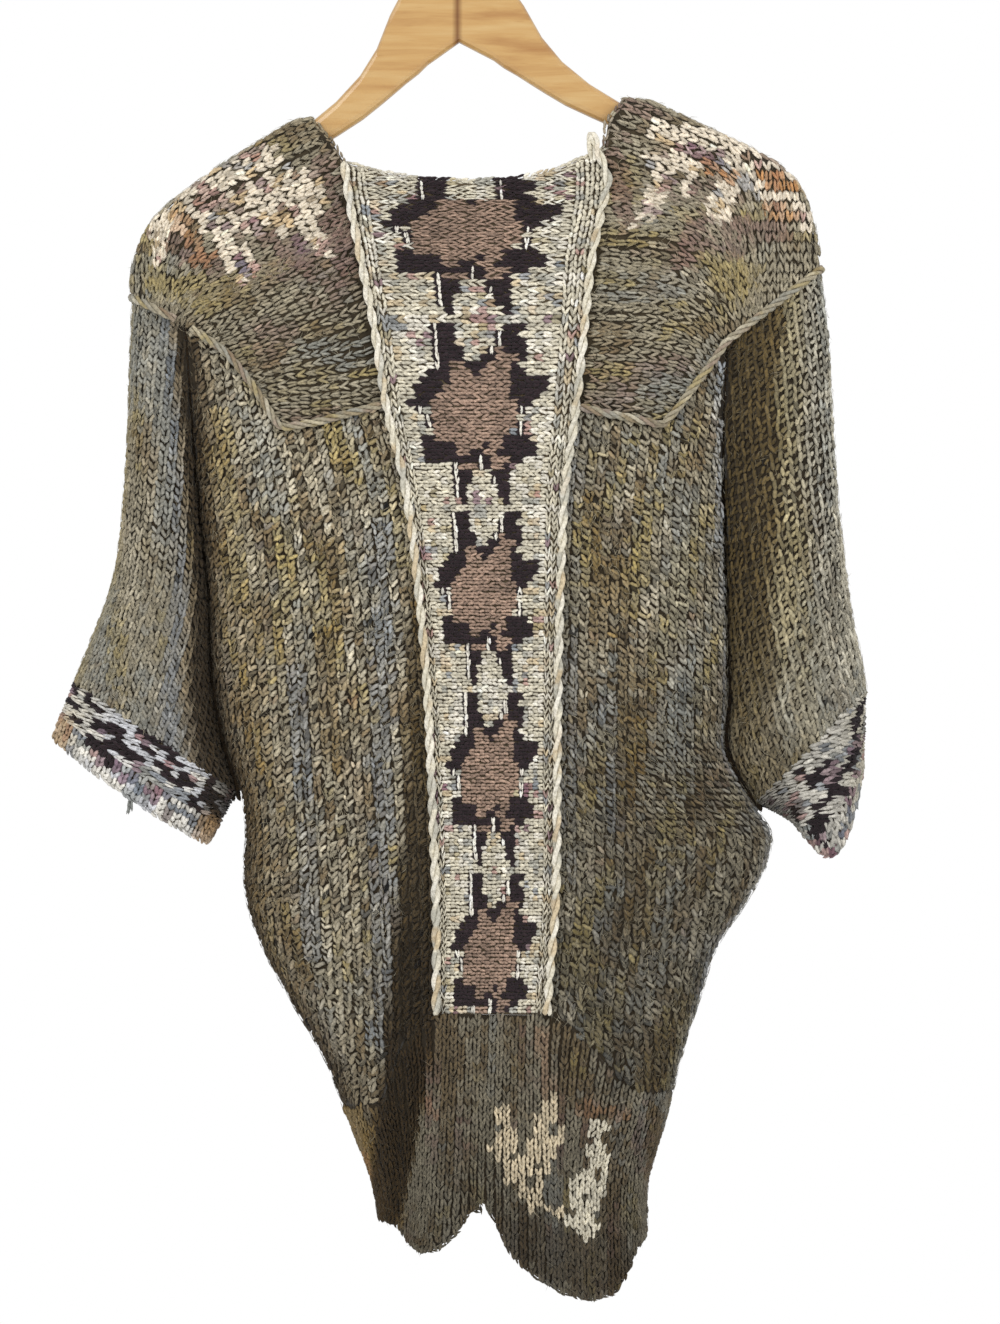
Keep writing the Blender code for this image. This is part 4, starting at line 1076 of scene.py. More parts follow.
def cuffStitches(side, seed):
    rowCount = cuff["rows"][side]
    around = np.linspace(-1.0, 1.0, 201)
    line = cuffPoint(side, around, 0.4)
    reach = travel(line)
    count = int(reach[-1] / (cuff["wide"] * mm))
    turn = np.interp((np.arange(count) + 0.5) / count * reach[-1], reach, around)
    share = (np.arange(rowCount) + 0.5) / rowCount
    turn, share = [values.ravel() for values in np.meshgrid(turn, share)]
    here, _, along, normal = frameOf(lambda a, b: cuffPoint(side, a, b), turn, share, 0.004, 0.02)
    step = np.linalg.norm(cuffPoint(side, turn, share + 0.5 / rowCount)
                          - cuffPoint(side, turn, share - 0.5 / rowCount), axis=-1)
    wale = -along
    course = unit(np.cross(wale, normal))
    step = np.clip(step, 2.5 * mm, 6.0 * mm)
    turned = share < cuff["turned"][side]
    wide = np.where(turned, step, cuff["wide"] * mm)
    tall = np.where(turned, cuff["wide"] * mm, step)
    lying = turned[:, None]
    stitches = stitchSet(
        here, np.where(lying, course, wale), np.where(lying, wale, course), normal, wide, tall)
    stitches["tint"] = cuffTint(stitches, side, turn, share, seed)
    return stitches


for side in (left, right):
    name = "cuff_" + words[side]
    turns = np.linspace(-1.0, 1.0, 60, endpoint=False)
    grid = cuffPoint(side, turns[:, None], np.linspace(0.0, 1.0, 13)[None])
    normals = outwardNormals(grid, ring=True)
    lining = [creamShadow, creamInside]
    piece = backing(name + "_cloth", pulledIn(grid, sides=False), normals, cuff, lining, ring=True)
    rim = [np.concatenate((values[:, -1], values[:1, -1])) for values in (grid, normals)]
    stitches = edged(cuffStitches(side, 300 + side), *rim, wide=5.0)
    if side == left:  # a loose end of yarn
        tail = place(*np.array(cuff["tail"], dtype=float).T)
        outs = np.tile((0.0, back, 0.0), (len(tail), 1))
        stitches = edged(stitches, tail, outs, wide=2.6, step=2.2, colour=heather["grey"])
    flat = stitches["tall"] > stitches["wide"]
    legs = layLegs(name + "_yarn", kept(stitches, ~flat), cuff["knit"], 300 + side, yarn)
    bandKnit = dict(cuff["knit"], **cuff["band"])
    bandLegs = layLegs(name + "_band_yarn", kept(stitches, flat), bandKnit, 310 + side, yarn)
    asSheet(name, piece, [legs, bandLegs])

# The centre back panel, knitted sideways, with its stepped medallions.

panel = {
    # (row of the chart, down)
    "stitches": 26, "rowPlaces": [(2, 227), (10, 253), (18.5, 287), (21, 297.7), (26, 321), (28, 333),
                                  (40.25, 397.5), (144.25, 901.9)],
    "sunk": 1.9, "thick": 1.0, "wide": 7.0, "tall": 4.85, "slot": "cream_knit",
    "leftBorder": 2, "rightBorder": 3, "topRow": 3.3,
    "knit": {"spread": 12.0, "wander": 7.0, "lift": -0.6, "uneven": 0.28, "length": 1.6, "thick": 0.54,
             "deep": 1.3, "dip": 0.06},
    "borderKnit": {"spread": 17.0, "length": 1.55, "thick": 0.46},
    "floatKnit": {"spread": 2.0, "offset": 0.12, "length": 1.3, "thick": 0.7},
    "cut": (0.185, 0.60, 0.066), "shade": 0.95, "slim": {"dark": 1.12, "mauve": 0.9},
    # spots of dye in the cream yarn: (colour, how rare, strength)
    "spots": [("white", 0.6, 0.7), ("gold", 0.76, 0.45), ("grey", 0.74, 0.6), ("blue", 0.8, 0.7),
              ("rose", 0.81, 0.7), ("purple", 0.84, 0.8), ("ochre", 0.83, 0.5)],
    # one repeat: k dark, m mauve, w dark with a pale float over it
    "chart": [
        ".........k......k.........",
        "..........................",
        ".......wkk......kkk.......",
        ".......wkk.....wkk........",
        ".......wkk.....wkkk.......",
        ".......wkkk...wmkkk.......",
        ".......wkkk..kkmmmk.......",
        ".......wkmmkkkmmmk........",
        "......kkkmmmkmmmmkk.......",
        ".....kkkkmmmmmmmmkkkkk....",
        "....kkkkmmmmmmmmmkkkkk....",
        "....kkkmmmmmmmmmmkkkk.....",
        "...kkkmmmmmmmmmmmmkk......",
        "....w.mmmmmmmmmmmmw.......",
        ".....wmmmmmmmmmmmm........",
        ".....wmmmmmmmmmmmmw.......",
        "......mmmmmmmmmmm.w.......",
        "....kkmmmmmmmmmmkkkk......",
        "....kkkkkmmmmkmmkkkkk.....",
        "....kkkkkmmkkmmkkkkkk.....",
        "....kkkkkkkkwkmmmkk.......",
        "........wmmmwkmmk.........",
        "........wkk...kkk.........",
        "........wkk...wkk.........",
        "........wk.....kk.........",
        "........wk.....kk.........",
    ],
}


def panelStitches(seed):
    rng = np.random.default_rng(seed)
    count = panel["stitches"]
    column, row = [values.ravel() for values in np.meshgrid(np.arange(count), np.arange(-4.0, 128.0))]
    rowPlace = straightTable(panel["rowPlaces"])
    firstRow, firstDown = panel["rowPlaces"][0]
    topRow = panel["topRow"]  # the rows above the first place are lower
    down = np.where(row < firstRow, firstDown + (row - firstRow + 0.5) * topRow, rowPlace(row + 0.5))
    height = np.where(row < firstRow, topRow, rowPlace(row + 1.0) - rowPlace(row)) * mm
    share = (column + 0.5) / count
    across = panelPoint(share, down)[:, 0] / mm
    inside = (down > neckline(across) + 1.5) & (down < hemSeam(across) - 1.0)
    column, row, down, height, share = [
        values[inside] for values in (column, row, down, height, share)]
    here, sideways, along, normal = frameOf(panelPoint, share, down, 0.01, 1.0)
    step = panelPoint(share + 0.5 / count, down) - panelPoint(share - 0.5 / count, down)
    width = np.linalg.norm(step, axis=-1)
    row = np.where((row > 4.0) & (row < 8.0), row - 3.0, row)  # the top medallion is slimmer
    letters = np.array([panel["chart"][int(r) % 26][c] for r, c in zip(row, column)])
    tint = np.repeat(fromBytes(heather["cream"])[None], len(here), axis=0)
    acrossHere, downHere = here[:, 0] / mm, -here[:, 2] / mm
    for n, (name, limit, strength) in enumerate(panel["spots"]):
        spots = patchNoise(acrossHere / 1.6, downHere, 5.0, seed + n) * 0.7 + rng.random(len(here)) * 0.3
        tint = blendIn(tint, heather[name], (spots > limit) * strength)
    tint = tint * panel["shade"]
    mauve, dark = letters == "m", (letters == "k") | (letters == "w")
    tint[mauve] = fromBytes(heather["medallion"])
    tint[mauve] *= (0.78 + 0.44 * patchNoise(acrossHere, downHere, 14.0, seed + 20))[mauve][:, None]
    tint[dark] = fromBytes(heather["aubergine"])
    border = (column < panel["leftBorder"]) | (column >= count - panel["rightBorder"])
    wale = np.where(border[:, None], -along, sideways)
    course = np.where(border[:, None], sideways, along)
    wide, tall = np.where(border, width, height), np.where(border, height, width)
    stitches = stitchSet(here, wale, course, normal, wide, tall, tint)
    stitches["slim"] = np.where(
        dark, panel["slim"]["dark"], np.where(mauve, panel["slim"]["mauve"], 1.0))
    floats = stitchSet(
        here + normal * 0.9 * mm, -along, sideways, normal, np.full(len(here), 2.6 * mm), height,
        np.repeat(fromBytes(heather["white"])[None], len(here), axis=0))
    return stitches, border, kept(floats, letters == "w")


shares = np.linspace(0.0, 1.0, 21)
downsTop = neckline(panelPoint(shares, 232.0)[:, 0] / mm)
downsFoot = hemSeam(panelPoint(shares, 850.0)[:, 0] / mm)
downs = mix(downsTop[:, None], downsFoot[:, None], np.linspace(0.0, 1.0, 101)[None])
grid = panelPoint(shares[:, None], downs)
normals = outwardNormals(grid)
piece = backing("back_panel_cloth", pulledIn(grid), normals, panel, [panelShadow, creamInside])
stitches, border, floats = panelStitches(400)
middle = edged(kept(stitches, ~border), grid[:, 0], normals[:, 0], wide=4.4)
legs = [layLegs("back_panel_yarn", middle, panel["knit"], 401, yarn)]
for part, rows, seed in (("border", kept(stitches, border), 402), ("float", floats, 403)):
    knit = dict(panel["knit"], **panel[part + "Knit"])
    legs.append(layLegs("back_panel_%s_yarn" % part, rows, knit, seed, yarn))
asSheet("back_panel", piece, legs)

# Shoulder yokes: rows of stitches turn round a point like a fan, and are laid along those lines.

yoke = {
    "along": 7.2, "apart": 4.7, "sunk": 1.9, "thick": 1.0, "wide": 7.2, "tall": 4.7, "slot": "yoke_knit",
    "knit": {"spread": 12.0, "wander": 9.0, "lift": -0.65, "uneven": 0.3, "length": 1.32, "thick": 0.56,
             "deep": 1.4, "dip": 0.05, "stray": 0.4},
    "dyes": [("light", 0.34, 0.5, 24.0, 9.0), ("grey", 0.5, 0.7, 50.0, 22.0),
             ("ochre", 0.44, 0.7, 40.0, 16.0), ("mauve", 0.42, 0.6, 40.0, 20.0),
             ("brown", 0.46, 0.7, 30.0, 14.0)],
    "spots": [("gold", 0.76), ("rose", 0.83), ("purple", 0.86), ("blue", 0.86), ("brown", 0.84),
              ("mauve", 0.82)],
    "hairs": 2200,
    "cuts": {left: (0.21, 0.38, 0.048), right: (0.21, 0.38, 0.0497)},
    "fanEdge": (-207.0, 230.0), "fanReach": 94.0, "ridgeAngle": math.radians(64.0),
    # flame patches of cream yarn: (across, down) to (across, down), half width
    "flames": {
        left: [(-184, 245, -128, 216, 12), (-172, 250, -98, 236, 15), (-150, 262, -94, 247, 12),
               (-164, 260, -141, 294, 10), (-102, 252, -88, 278, 8), (-202, 262, -200, 284, 6),
               (-200, 264, -165, 240, 11), (-114, 256, -112, 270, 6)],
        right: [(150, 198, 214, 212, 10), (148, 214, 200, 222, 10), (190, 212, 240, 238, 14),
                (156, 222, 142, 254, 8), (206, 232, 188, 256, 9), (236, 238, 252, 262, 8),
                (176, 222, 168, 238, 6), (132, 266, 134, 270, 3), (214, 236, 238, 252, 8)]},
    "specks": {
        left: [("amber", 0.4, (-186, 262, -170, 286, 8)), ("rose", 0.5, (-170, 238, -158, 244, 5)),
               ("purple", 0.55, (-133, 262, -126, 268, 4)), ("blue", 0.6, (-142, 290, -138, 296, 4)),
               ("purple", 0.6, (-103, 276, -96, 282, 4))],
        right: [("purple", 0.7, (168, 212, 192, 216, 5)), ("blue", 0.6, (186, 219, 198, 224, 4)),
                ("amber", 0.6, (184, 222, 200, 230, 5)), ("amber", 0.75, (222, 226, 240, 238, 6)),
                ("blue", 0.6, (208, 234, 216, 242, 4)), ("amber", 0.55, (226, 252, 240, 258, 6)),
                ("purple", 0.5, (140, 250, 146, 256, 4))]},
    "mauves": {
        left: [(-84, 222, -68, 300, 10), (-190, 276, -164, 292, 11), (-126, 272, -96, 296, 9)],
        right: [(116, 214, 128, 262, 9), (196, 262, 236, 270, 9), (176, 262, 166, 290, 9),
                (128, 180, 150, 190, 8)]},
}


def insidePolygon(point, polygon):
    x, y = point
    crossings = 0
    for (x0, y0), (x1, y1) in zip(polygon, np.roll(polygon, -1, axis=0)):
        if (y0 > y) != (y1 > y) and x < x0 + (y - y0) * (x1 - x0) / (y1 - y0):
            crossings += 1
    return crossings % 2 == 1


def fanDirection(side, point):
    across, down = point
    reach = smoothStep((across - yoke["fanEdge"][side]) * -signs[side] / yoke["fanReach"])
    low = math.radians(88.0) * reach
    ridgeDown = np.interp(across, *np.array(garment["ridges"][side]).T)
    below = smoothStep((down - ridgeDown) / 100.0)
    angle = mix(mix(low, yoke["ridgeAngle"], min(reach * 2.5, 1.0)), low, below)
    return np.array((-signs[side] * math.sin(angle), -math.cos(angle)))


def fanPlaces(side, polygon):
    laid, headings = [], []
    queue = [polygon.mean(axis=0)]

    def clear(point, others, reach):
        if not len(others):
            return True
        return np.min(np.linalg.norm(np.array(others) - point, axis=1)) > reach

    while queue:
        seed = queue.pop(0)
        if not insidePolygon(seed, polygon) or not clear(seed, laid, yoke["apart"] * 0.86):
            continue
        line = [seed]
        for hand in (1.0, -1.0):
            point = seed
            while True:
                point = point + hand * fanDirection(side, point) * yoke["along"]
                if not insidePolygon(point, polygon) or not clear(point, laid, yoke["apart"] * 0.66):
                    break
                line.append(point)
        laid += line
        for point in line:
            heading = fanDirection(side, point)
            headings.append(heading)
            square = np.array((-heading[1], heading[0])) * yoke["apart"]
            queue += [point + square, point - square]
    return np.array(laid), np.array(headings)


def yokeTint(stitches, side, face, seed):
    across, down = stitches["across"], stitches["down"]
    rng = np.random.default_rng(seed)
    tint = heatherTint(across, down, seed, yoke["dyes"])
    ragged = rng.normal(0.0, 0.16, len(across))
    mauves = streakNearness(across, down, yoke["mauves"][side])
    tint = blendIn(tint, heather["mauve"], smoothStep((mauves + ragged) * 2.0) * 0.7)
    flames = streakNearness(across, down, yoke["flames"][side])
    inFlame = flames + ragged > 0.12
    tint = blendIn(tint, heather["flame"], inFlame * 0.96)
    for n, (name, limit) in enumerate(yoke["spots"]):
        spots = patchNoise(across / 1.6, down, 6.0, seed + 30 + n)
        tint = blendIn(tint, heather[name], (inFlame & (spots > limit)) * 0.65)
    for name, weight, row in yoke["specks"][side]:
        speck = streakNearness(across, down, [row]) + ragged > 0.1
        tint = blendIn(tint, heather[name], speck * weight)
    return tint


def yokeStitches(side, surfaces, seed):
    parts = []
    for face in (back, front):
        grid = surfaces[face]
        columns, rows = grid.shape[:2]
        faces = [(i * rows + j, i * rows + j + 1, (i + 1) * rows + j + 1, (i + 1) * rows + j)
                 for i in range(columns - 1) for j in range(rows - 1)]
        tree = BVHTree.FromPolygons([Vector(point) for point in grid.reshape(-1, 3)], faces)
        outline = np.concatenate((grid[:, 0], grid[-1, 1:], grid[::-1, -1][1:], grid[0, ::-1][1:-1]))
        polygon = np.stack((outline[:, 0], -outline[:, 2]), axis=1) / mm
        places, headings = fanPlaces(side, polygon)
        here, wale, normal = [], [], []
        for (across, down), heading in zip(places, headings):
            spot, square, _, _ = tree.ray_cast(
                Vector((across * mm, face * 0.3, -down * mm)), Vector((0.0, -face, 0.0)))
            if spot is None:
                continue
            square = np.array(square) * (1.0 if square.y * face > 0.0 else -1.0)
            ahead = np.array((heading[0], 0.0, -heading[1]))
            here.append(spot)
            normal.append(square)
            wale.append(ahead - square * (ahead @ square))
        here, normal, wale = np.array(here), np.array(normal), unit(np.array(wale))
        stitches = stitchSet(here, wale, np.cross(wale, normal), normal, yoke["apart"], yoke["along"])
        stitches["tint"] = yokeTint(stitches, side, face, seed)
        edge = walk(grid[0], np.linspace(0.0, 1.0, 61))
        fromEdge = np.linalg.norm(here[:, None] - edge[None], axis=-1).min(axis=1) / mm
        lower = smoothStep((stitches["down"] - 285.0) / 60.0)
        flame = stitches["tint"].mean(axis=1) > 0.5
        stitches["slim"] = np.where(flame, 1.3, mix(1.0, 0.9, lower))
        parts.append(kept(stitches, fromEdge > 2.9))
    ridge = walk(garment["ridges"][side], np.arange(0.012, 0.99, 0.042))
    ahead = unit(np.gradient(ridge, axis=0))
    here = place(ridge[:, 0], 0.0 * ridge[:, 0], ridge[:, 1])
    wale = np.stack((ahead[:, 0], 0.0 * ahead[:, 0], -ahead[:, 1]), axis=1)
    course = np.tile((0.0, 1.0, 0.0), (len(here), 1))
    normal = unit(np.cross(course, wale))
    normal *= np.sign(normal[:, 2] + signs[side] * normal[:, 0])[:, None]
    for shift in (-3.4, 0.0, 3.4):
        drop = abs(shift) ** 2 / 22.0
        moved = here + course * shift * mm - normal * drop * mm
        tilted = unit(normal + course * shift / 11.0)
        row = stitchSet(moved, wale, np.cross(wale, tilted), tilted, 3.9, yoke["along"])
        row["tint"] = yokeTint(row, side, back, seed)
        parts.append(row)
    return gathered(parts)


for side in (left, right):
    name = "yoke_" + words[side]
    surfaces = {face: yokeSurface(side, face, 30) for face in (back, front)}
    grid = np.concatenate((surfaces[back][:, ::-1], surfaces[front][:, 1:]), axis=1)
    normals = outwardNormals(grid)
    piece = backing(name + "_cloth", pulledIn(grid), normals, yoke, [yokeShadow, bodyInside])
    knitted(name, piece, yokeStitches(side, surfaces, 500 + side),
            yoke["knit"], 500 + side, [(grid[0], normals[0], {})], yoke["hairs"])

# Hem bands, in finer stitches that stand in upright ridges.

hem = {
    "wide": 5.6, "tall": 4.3, "sunk": 1.9, "thick": 1.0, "slot": "hem_knit",
    "knit": {"spread": 14.0, "wander": 7.0, "offset": 0.23, "lift": -0.75, "uneven": 0.25, "length": 1.7,
             "thick": 0.46, "deep": 1.4, "dip": 0.08},
    "columns": 24,  # steps of the backing along each of its three stretches
    "backCut": (0.27, 0.20, 0.0355),
    "frontCuts": {left: (0.105, 0.088, 0.0090), right: (0.108, 0.088, 0.0092)},
    "dyes": [("grey", 0.44, 0.6, 8.0, 60.0), ("brown", 0.56, 0.8, 9.0, 70.0),
             ("ochre", 0.34, 0.6, 7.0, 50.0), ("mauve", 0.44, 0.6, 9.0, 60.0)],
    "flames": [(41, 882, 46, 926, 6.4), (74, 874, 52, 930, 7), (36, 908, 60, 944, 6),
               (80, 892, 62, 936, 5), (60, 940, 98, 968, 4), (106, 890, 98, 964, 6),
               (112, 912, 104, 950, 5), (92, 930, 90, 958, 4)],
    "rust": [(66, 826, 74, 880, 6), (-22, 860, -8, 884, 5)],
    # the umber band by the fold left of the panel and the dark band along the lowest lobe are painted
    # shade; the rust bands are dye
    "streaks": [("umber", 0.6, (-72, 880, -52, 950, 22)), ("rust", 0.3, (-58, 915, -40, 950, 7)),
                ("rust", 0.25, (96, 880, 124, 884, 6)), ("dark", 0.55, (50, 975, 118, 990, 26))],
    # shades: painted shade, darker towards the hem's edge
    "hairs": 600, "shades": ((830, 890, 940, 1000), (0.92, 0.82, 0.66, 0.55)),
}


def hemTint(stitches, seed):
    across, down = stitches["across"], stitches["down"]
    rng = np.random.default_rng(seed)
    tint = heatherTint(across, down, seed, hem["dyes"]) * 0.6
    rusts = streakNearness(across, down, hem["rust"])
    tint = blendIn(tint, heather["rust"], smoothStep(rusts * 2.0) * 0.3)
    # painted shade, darker towards the edge
    tint = tint * np.interp(down, *hem["shades"])[:, None]
    if np.mean(stitches["here"][:, 1]) < 0.0:
        tint = foldShadow(streaked(tint, stitches, hem["streaks"], seed + 80), across, down)
        ragged = (patchNoise(across, down / 3.0, 3.2, seed + 9) - 0.5) * 0.9
        flames = streakNearness(across, down, hem["flames"]) + ragged
        inFlame = flames + rng.normal(0.0, 0.15, len(across)) > 0.12
        tint = blendIn(tint, heather["cream"], inFlame * 0.85)
        tint = blendIn(tint, heather["gold"], inFlame * (across < 84.0) * 0.35)
    return tint


def bandStitches(pointAt, across, tops, feet, seed):
    columns = []
    for a, top, foot in zip(across, tops, feet):
        downs = np.arange(foot - 1.6, top + 1.0, -hem["tall"])
        columns.append(np.stack((np.full(len(downs), a), downs), axis=1))
    a, b = np.concatenate(columns).T
    here, sideways, along, normal = frameOf(pointAt, a, b, 0.5, 1.0)
    wale = -along
    stitches = stitchSet(here, wale, np.cross(wale, normal), normal, hem["wide"], hem["tall"])
    stitches["tint"] = hemTint(stitches, seed)
    return stitches


def hemColumn(index, down):
    third = np.clip(index, 0.0, 3.0 * hem["columns"]) / hem["columns"]
    onLeft = flankPoint(left, back, np.clip(third, 0.0, 1.0), down)
    onPanel = panelPoint(np.clip(third - 1.0, 0.0, 1.0), down)
    onRight = flankPoint(right, back, np.clip(3.0 - third, 0.0, 1.0), down)
    stretch = np.minimum(third.astype(int), 2)[..., None]
    return np.where(stretch == 0, onLeft, np.where(stretch == 1, onPanel, onRight))


def columnPlaces(line, places):
    reach = travel(line)
    step = hem["wide"] * mm
    return np.interp(np.arange(step / 2, reach[-1], step), reach, places)


count = 3 * hem["columns"] + 1
index = np.arange(0.0, count)
topDowns = hemSeam(hemColumn(index, np.full(count, 850.0))[:, 0] / mm)
footDowns = hemEdge(hemColumn(index, np.full(count, 955.0))[:, 0] / mm)
downs = mix(topDowns[:, None], footDowns[:, None], np.linspace(0.0, 1.0, 31)[None])
grid = hemColumn(np.repeat(index[:, None], 31, axis=1), downs)
normals = outwardNormals(grid)
piece = backing("hem_back_cloth", pulledIn(grid), normals, hem, [bodyShadow, bodyInside])
fine = np.linspace(0.0, count - 1.0, 721)
places = columnPlaces(hemColumn(fine, np.full(721, 890.0)), fine)
tops, feet = np.interp(places, index, topDowns), np.interp(places, index, footDowns)
knitted("hem_back", piece, bandStitches(hemColumn, places, tops, feet, 600),
        hem["knit"], 600, [(grid[:, -1], normals[:, -1], {})], hem["hairs"])

for side in (left, right):
    name = "hem_front_" + words[side]
    top, foot = garment["hemFrontSeam"], garment["hemFrontEdge"]
    grid = flankPoint(side, front, np.linspace(0.0, 1.0, 31)[:, None], np.linspace(top, foot, 21)[None])
    normals = outwardNormals(grid)
    piece = backing(name + "_cloth", pulledIn(grid), normals, hem, [bodyShadow, bodyInside])
    fine = np.linspace(0.0, 1.0, 301)
    places = columnPlaces(flankPoint(side, front, fine, 900.0), fine)
    stitches = bandStitches(
        lambda a, b: flankPoint(side, front, np.asarray(a) / 300.0, b), places * 300.0,
        np.full(len(places), top), np.full(len(places), foot), 610 + side)
    knitted(name, piece, stitches, dict(hem["knit"], **frontKnit),
            610 + side, [(grid[:, -1], normals[:, -1], {}), (grid[-1], normals[-1], {})])

# Raised cords: strands of yarn twisted along a line.

cords = {
    "panel": {"radius": 3.3, "lift": 3.4, "strands": 2, "pitch": 30.0, "slot": "cream_cord",
              "reach": 0.5, "thick": 0.56,
              "loop": [(104, 220, -19.5), (102, 211, -19), (100.4, 204.4, -18), (101.6, 201, -18.5),
                       (104, 204.6, -20), (106.4, 213, -21.5), (110.6, 222.6, -22), (113.2, 231.7, -22),
                       (111.6, 243, -22.6), (108.6, 254, -23.6)],
              "colours": ["cream", "white", "grey", "gold", "white", "cream"]},
    "yoke": {"radius": 3.0, "lift": 3.4, "strands": 3, "pitch": 24.0, "slot": "olive_cord",
             "reach": 0.54, "thick": 0.5,
             "colours": ["base", "ochre", "grey", "light", "mauve", "brown"]},
}


def evenLine(points, step):
    travelled = travel(points)
    smooth = [smoothTable(travelled, points[:, i]) for i in range(3)]
    at = np.linspace(0.0, travelled[-1], int(travelled[-1] / step) + 1)
    return np.stack([axis(at) for axis in smooth], axis=1), at


def twistedCord(name, points, outs, cord, seed):
    line, at = evenLine(points, 1.6 * mm)
    outs = unit(np.stack([np.interp(
        at, np.linspace(0.0, at[-1], len(outs)), outs[:, i]) for i in range(3)], axis=1))
    ahead = unit(np.gradient(line, axis=0))
    outs = unit(outs - ahead * np.sum(outs * ahead, axis=1, keepdims=True))
    beside = np.cross(ahead, outs)
    strands = cord["strands"]
    reach = cord["radius"] * cord["reach"] * mm
    thick = cord["radius"] * cord["thick"] * mm
    sides, wrapStep = 6, 0.16
    points, faces, wraps, tints = [], [], [], []
    for strand in range(strands):
        phase = math.tau * (at / (cord["pitch"] * mm) + strand / strands)
        phase = phase + 0.5 * (patchNoise(at / mm, 0.0 * at, 30.0, seed) - 0.5)
        centre = line + reach * (np.cos(phase)[:, None] * outs + np.sin(phase)[:, None] * beside)
        swell = thick * (0.9 + 0.2 * patchNoise(at / mm, 0.0 * at, 9.0, seed + strand))
        swell[[0, -1]] *= 0.3
        start = sum(len(part) for part in points)
        angles = (np.arange(sides) / sides * math.tau)[None, :, None]
        spokes = np.cos(angles) * outs[:, None] + np.sin(angles) * beside[:, None]
        ring = centre[:, None] + swell[:, None, None] * spokes
        points.append(np.concatenate((ring.reshape(-1, 3), centre[[0, -1]])))
        colour = np.repeat(fromBytes(heather[cord["colours"][0]])[None], len(at), axis=0)
        for n, other in enumerate(cord["colours"][1:]):
            spots = patchNoise(at / mm + 300 * strand, 0.0 * at, 16.0, seed + 10 * n + strand)
            colour = blendIn(colour, heather[other], smoothStep((spots - 0.66) * 8.0) * 0.5)
        tints.append(np.concatenate((np.repeat(colour, sides, axis=0), colour[[0, -1]])))
        rows = len(at)
        for i in range(rows - 1):
            for j in range(sides):
                k = (j + 1) % sides
                a, b, c, d = [start + i * sides + j, start + i * sides + k,
                              start + (i + 1) * sides + k, start + (i + 1) * sides + j]
                faces += [(a, b, c), (a, c, d)]
                low, high = i * wrapStep, (i + 1) * wrapStep
                u0, u1 = j / sides, (j + 1) / sides
                wraps += [((u0, low), (u1, low), (u1, high)), ((u0, low), (u1, high), (u0, high))]
        for row, tip, flip in ((0, 0, 1), (rows - 1, 1, 0)):
            for j in range(sides):
                k = (j + 1) % sides
                a, b = start + row * sides + j, start + row * sides + k
                end = start + rows * sides + tip
                faces.append((b, a, end) if flip else (a, b, end))
                wraps.append(((0.0, 0.0), (0.0, 0.0), (0.0, 0.0)))
    mesh = joinedMesh(
        name, np.concatenate(points), np.array(faces), np.array(wraps), np.concatenate(tints))
    shape = bmesh.new()
    shape.from_mesh(mesh)
    bmesh.ops.recalc_face_normals(shape, faces=shape.faces)
    shape.to_mesh(mesh)
    shape.free()
    thing = link(name, mesh, [cordYarn])
    return thing


for side in (left, right):
    cord = cords["panel"]
    share = float(side)
    top = float(neckline(panelLine[side](garment["neckCorners"][side][-1][1])))
    foot = float(hemSeam(panelPoint(share, 850.0)[0] / mm))
    downs = np.linspace(top, foot, 60)
    here, _, _, normal = frameOf(panelPoint, np.full(60, abs(share - 0.01)), downs, 0.01, 1.0)
    points = panelPoint(np.full(60, share), downs) + normal * cord["lift"] * mm
    if side == right:
        loop = np.array(cord["loop"])
        below = downs > loop[-1][1] + 6.0
        loop = place(loop[:, 0], loop[:, 2], loop[:, 1])
        normal = np.concatenate((np.repeat(normal[:1], len(loop), axis=0), normal[below]))
        points = np.concatenate((loop, points[below]))
    name = "panel_cord_" + words[side]
    piece = twistedCord(name + "_twist", points, normal, cord, 700 + side)
    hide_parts(name)

for side in (left, right):
    cord = cords["yoke"]
    shares = np.linspace(0.98, 0.0, 40)
    lines = []
    for face in (back, front):
        body = flankPoint(side, face, shares, flankTop(side, face, shares))
        sleevePart = sleevePoint(side, -face * (1.0 - np.arange(1, 15) / 14.0), 0.0)
        lines.append(np.concatenate((body, sleevePart)))
    points = np.concatenate((lines[0][:-1], lines[1][::-1]))
    outs = points * np.array((0.0, 1.0, 0.0))
    outs[:, 1] = outs[:, 1] / 0.02
    outs[:, 0] = signs[side] * smoothStep((points[:, 0] * signs[side] / mm - 190.0) / 60.0)
    outs = unit(outs)
    name = "yoke_cord_" + words[side]
    lift = cord["lift"] * (1.0 - 0.8 * smoothStep((points[:, 0] * signs[side] / mm - 195.0) / 22.0))
    piece = twistedCord(name + "_twist", points + outs * lift[:, None] * mm, outs, cord, 720 + side)
    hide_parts(name)
print("made cords")

# Hanger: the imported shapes, with their own finishes.

for name, material in (("hanger_wood", woodMaterial()), ("hanger_hook", steelMaterial())):
    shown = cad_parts[name]
    shown.data.materials.clear()
    shown.data.materials.append(material)
print("made hanger")

# Studio: pale floor, white surroundings, soft lights and the photograph's view.

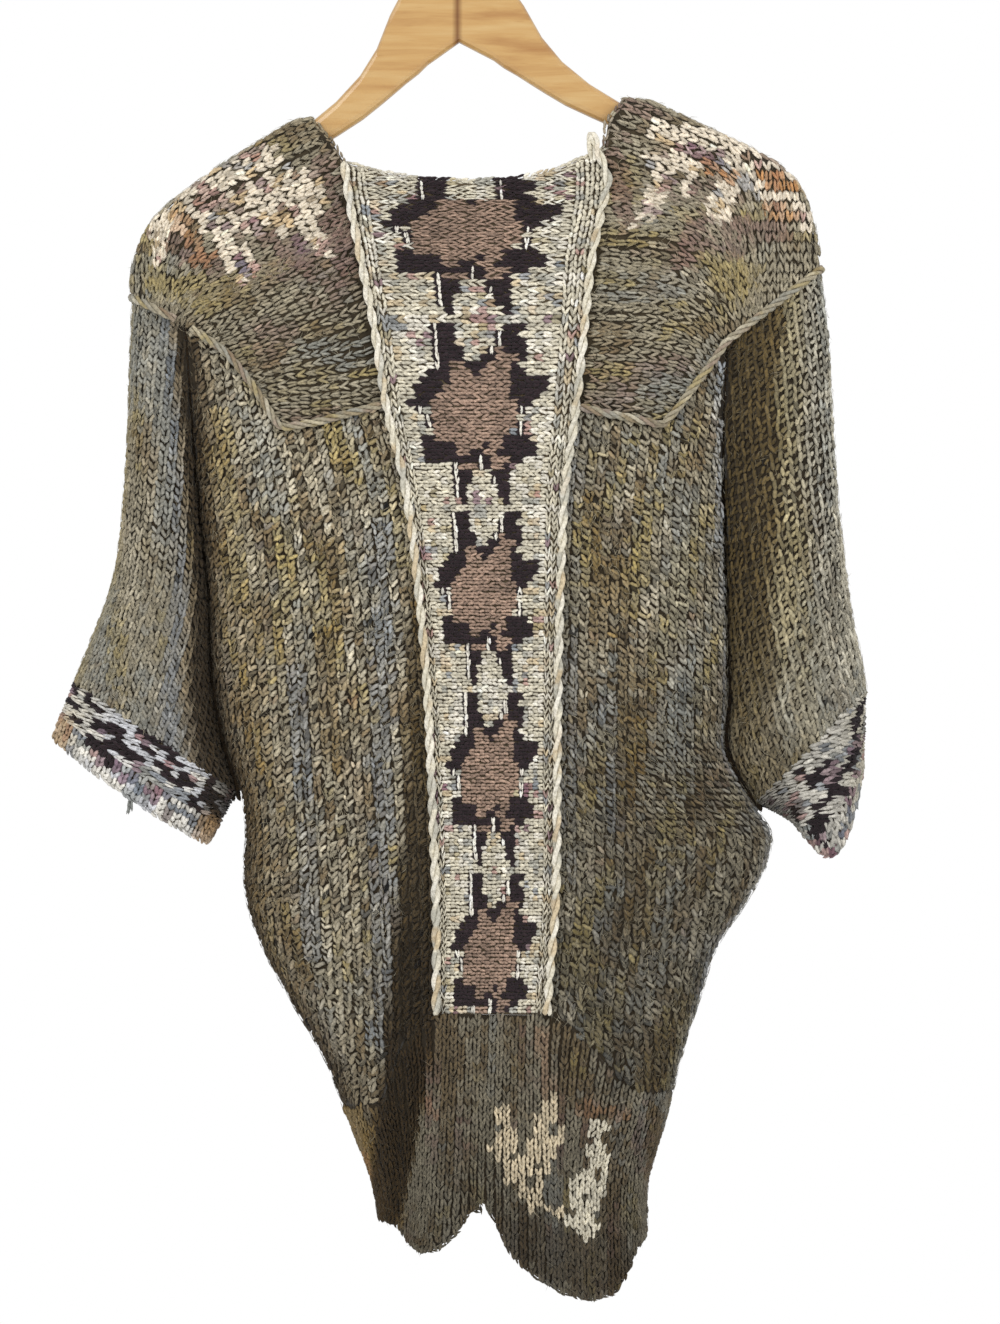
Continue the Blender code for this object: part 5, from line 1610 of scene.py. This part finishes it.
studio = {
    "floorDown": 1.35, "halfWidth": 3.0, "nearY": -4.0, "farY": 1.5, "ambient": 0.75,
    "camera": (0.038, -6.0, -0.569), "lens": 233.0,
    # (place, size, watts), all turned to lightTarget
    "lights": [((-1.4, -2.2, 1.0), 1.8, 34.0), ((1.8, -2.0, 0.2), 1.6, 22.0),
               ((0.2, 1.0, 1.2), 1.4, 10.0)],
    "lightTarget": (0.03, 0.0, -0.6),
}

shape = bmesh.new()
bmesh.ops.create_grid(shape, x_segments=6, y_segments=6, size=1.0)
for vert in shape.verts:
    y = mix(studio["nearY"], studio["farY"], (vert.co.y + 1.0) / 2.0)
    vert.co = (vert.co.x * studio["halfWidth"], y, -studio["floorDown"])
mesh = bpy.data.meshes.new("floor")
shape.to_mesh(mesh)
shape.free()
floorMaterial, tree, shader = newMaterial("paleFloor", 0.9)
paper = ramp(tree, objectNoise(tree, Scale=3.0, Detail=2.0), "Fac", [
    (0.2, (0.86, 0.86, 0.86)), (0.8, (0.9, 0.9, 0.9))])
wire(tree, paper, "Color", shader, "Base Color")
floor = bpy.data.objects.new("floor", mesh)
mesh.materials.append(floorMaterial)
bpy.context.scene.collection.objects.link(floor)

world = bpy.data.worlds.new("studioAir")
bpy.context.scene.world = world
world.use_nodes = True
air = world.node_tree.nodes["Background"]
air.inputs["Color"].default_value = (1.0, 1.0, 1.0, 1.0)
seen = node(world.node_tree, "ShaderNodeLightPath")
strength = node(world.node_tree, "ShaderNodeMapRange")
strength.inputs["To Min"].default_value = studio["ambient"]
wire(world.node_tree, seen, "Is Camera Ray", strength, "Value")
wire(world.node_tree, strength, "Result", air, "Strength")

for i, (spot, size, power) in enumerate(studio["lights"]):
    data = bpy.data.lights.new("softLight%d" % i, "AREA")
    data.size = size
    data.energy = power
    lamp = bpy.data.objects.new("softLight%d" % i, data)
    lamp.location = spot
    towards = Vector(studio["lightTarget"]) - Vector(spot)
    lamp.rotation_euler = towards.to_track_quat("-Z", "Y").to_euler()
    bpy.context.scene.collection.objects.link(lamp)

cameraData = bpy.data.cameras.new("photoView")
cameraData.lens = studio["lens"]
camera = bpy.data.objects.new("photoView", cameraData)
camera.location = studio["camera"]
camera.rotation_euler = (math.radians(90.0), 0.0, 0.0)
bpy.context.scene.collection.objects.link(camera)
bpy.context.scene.camera = camera

bpy.context.scene.view_settings.view_transform = "Standard"

print("made everything")
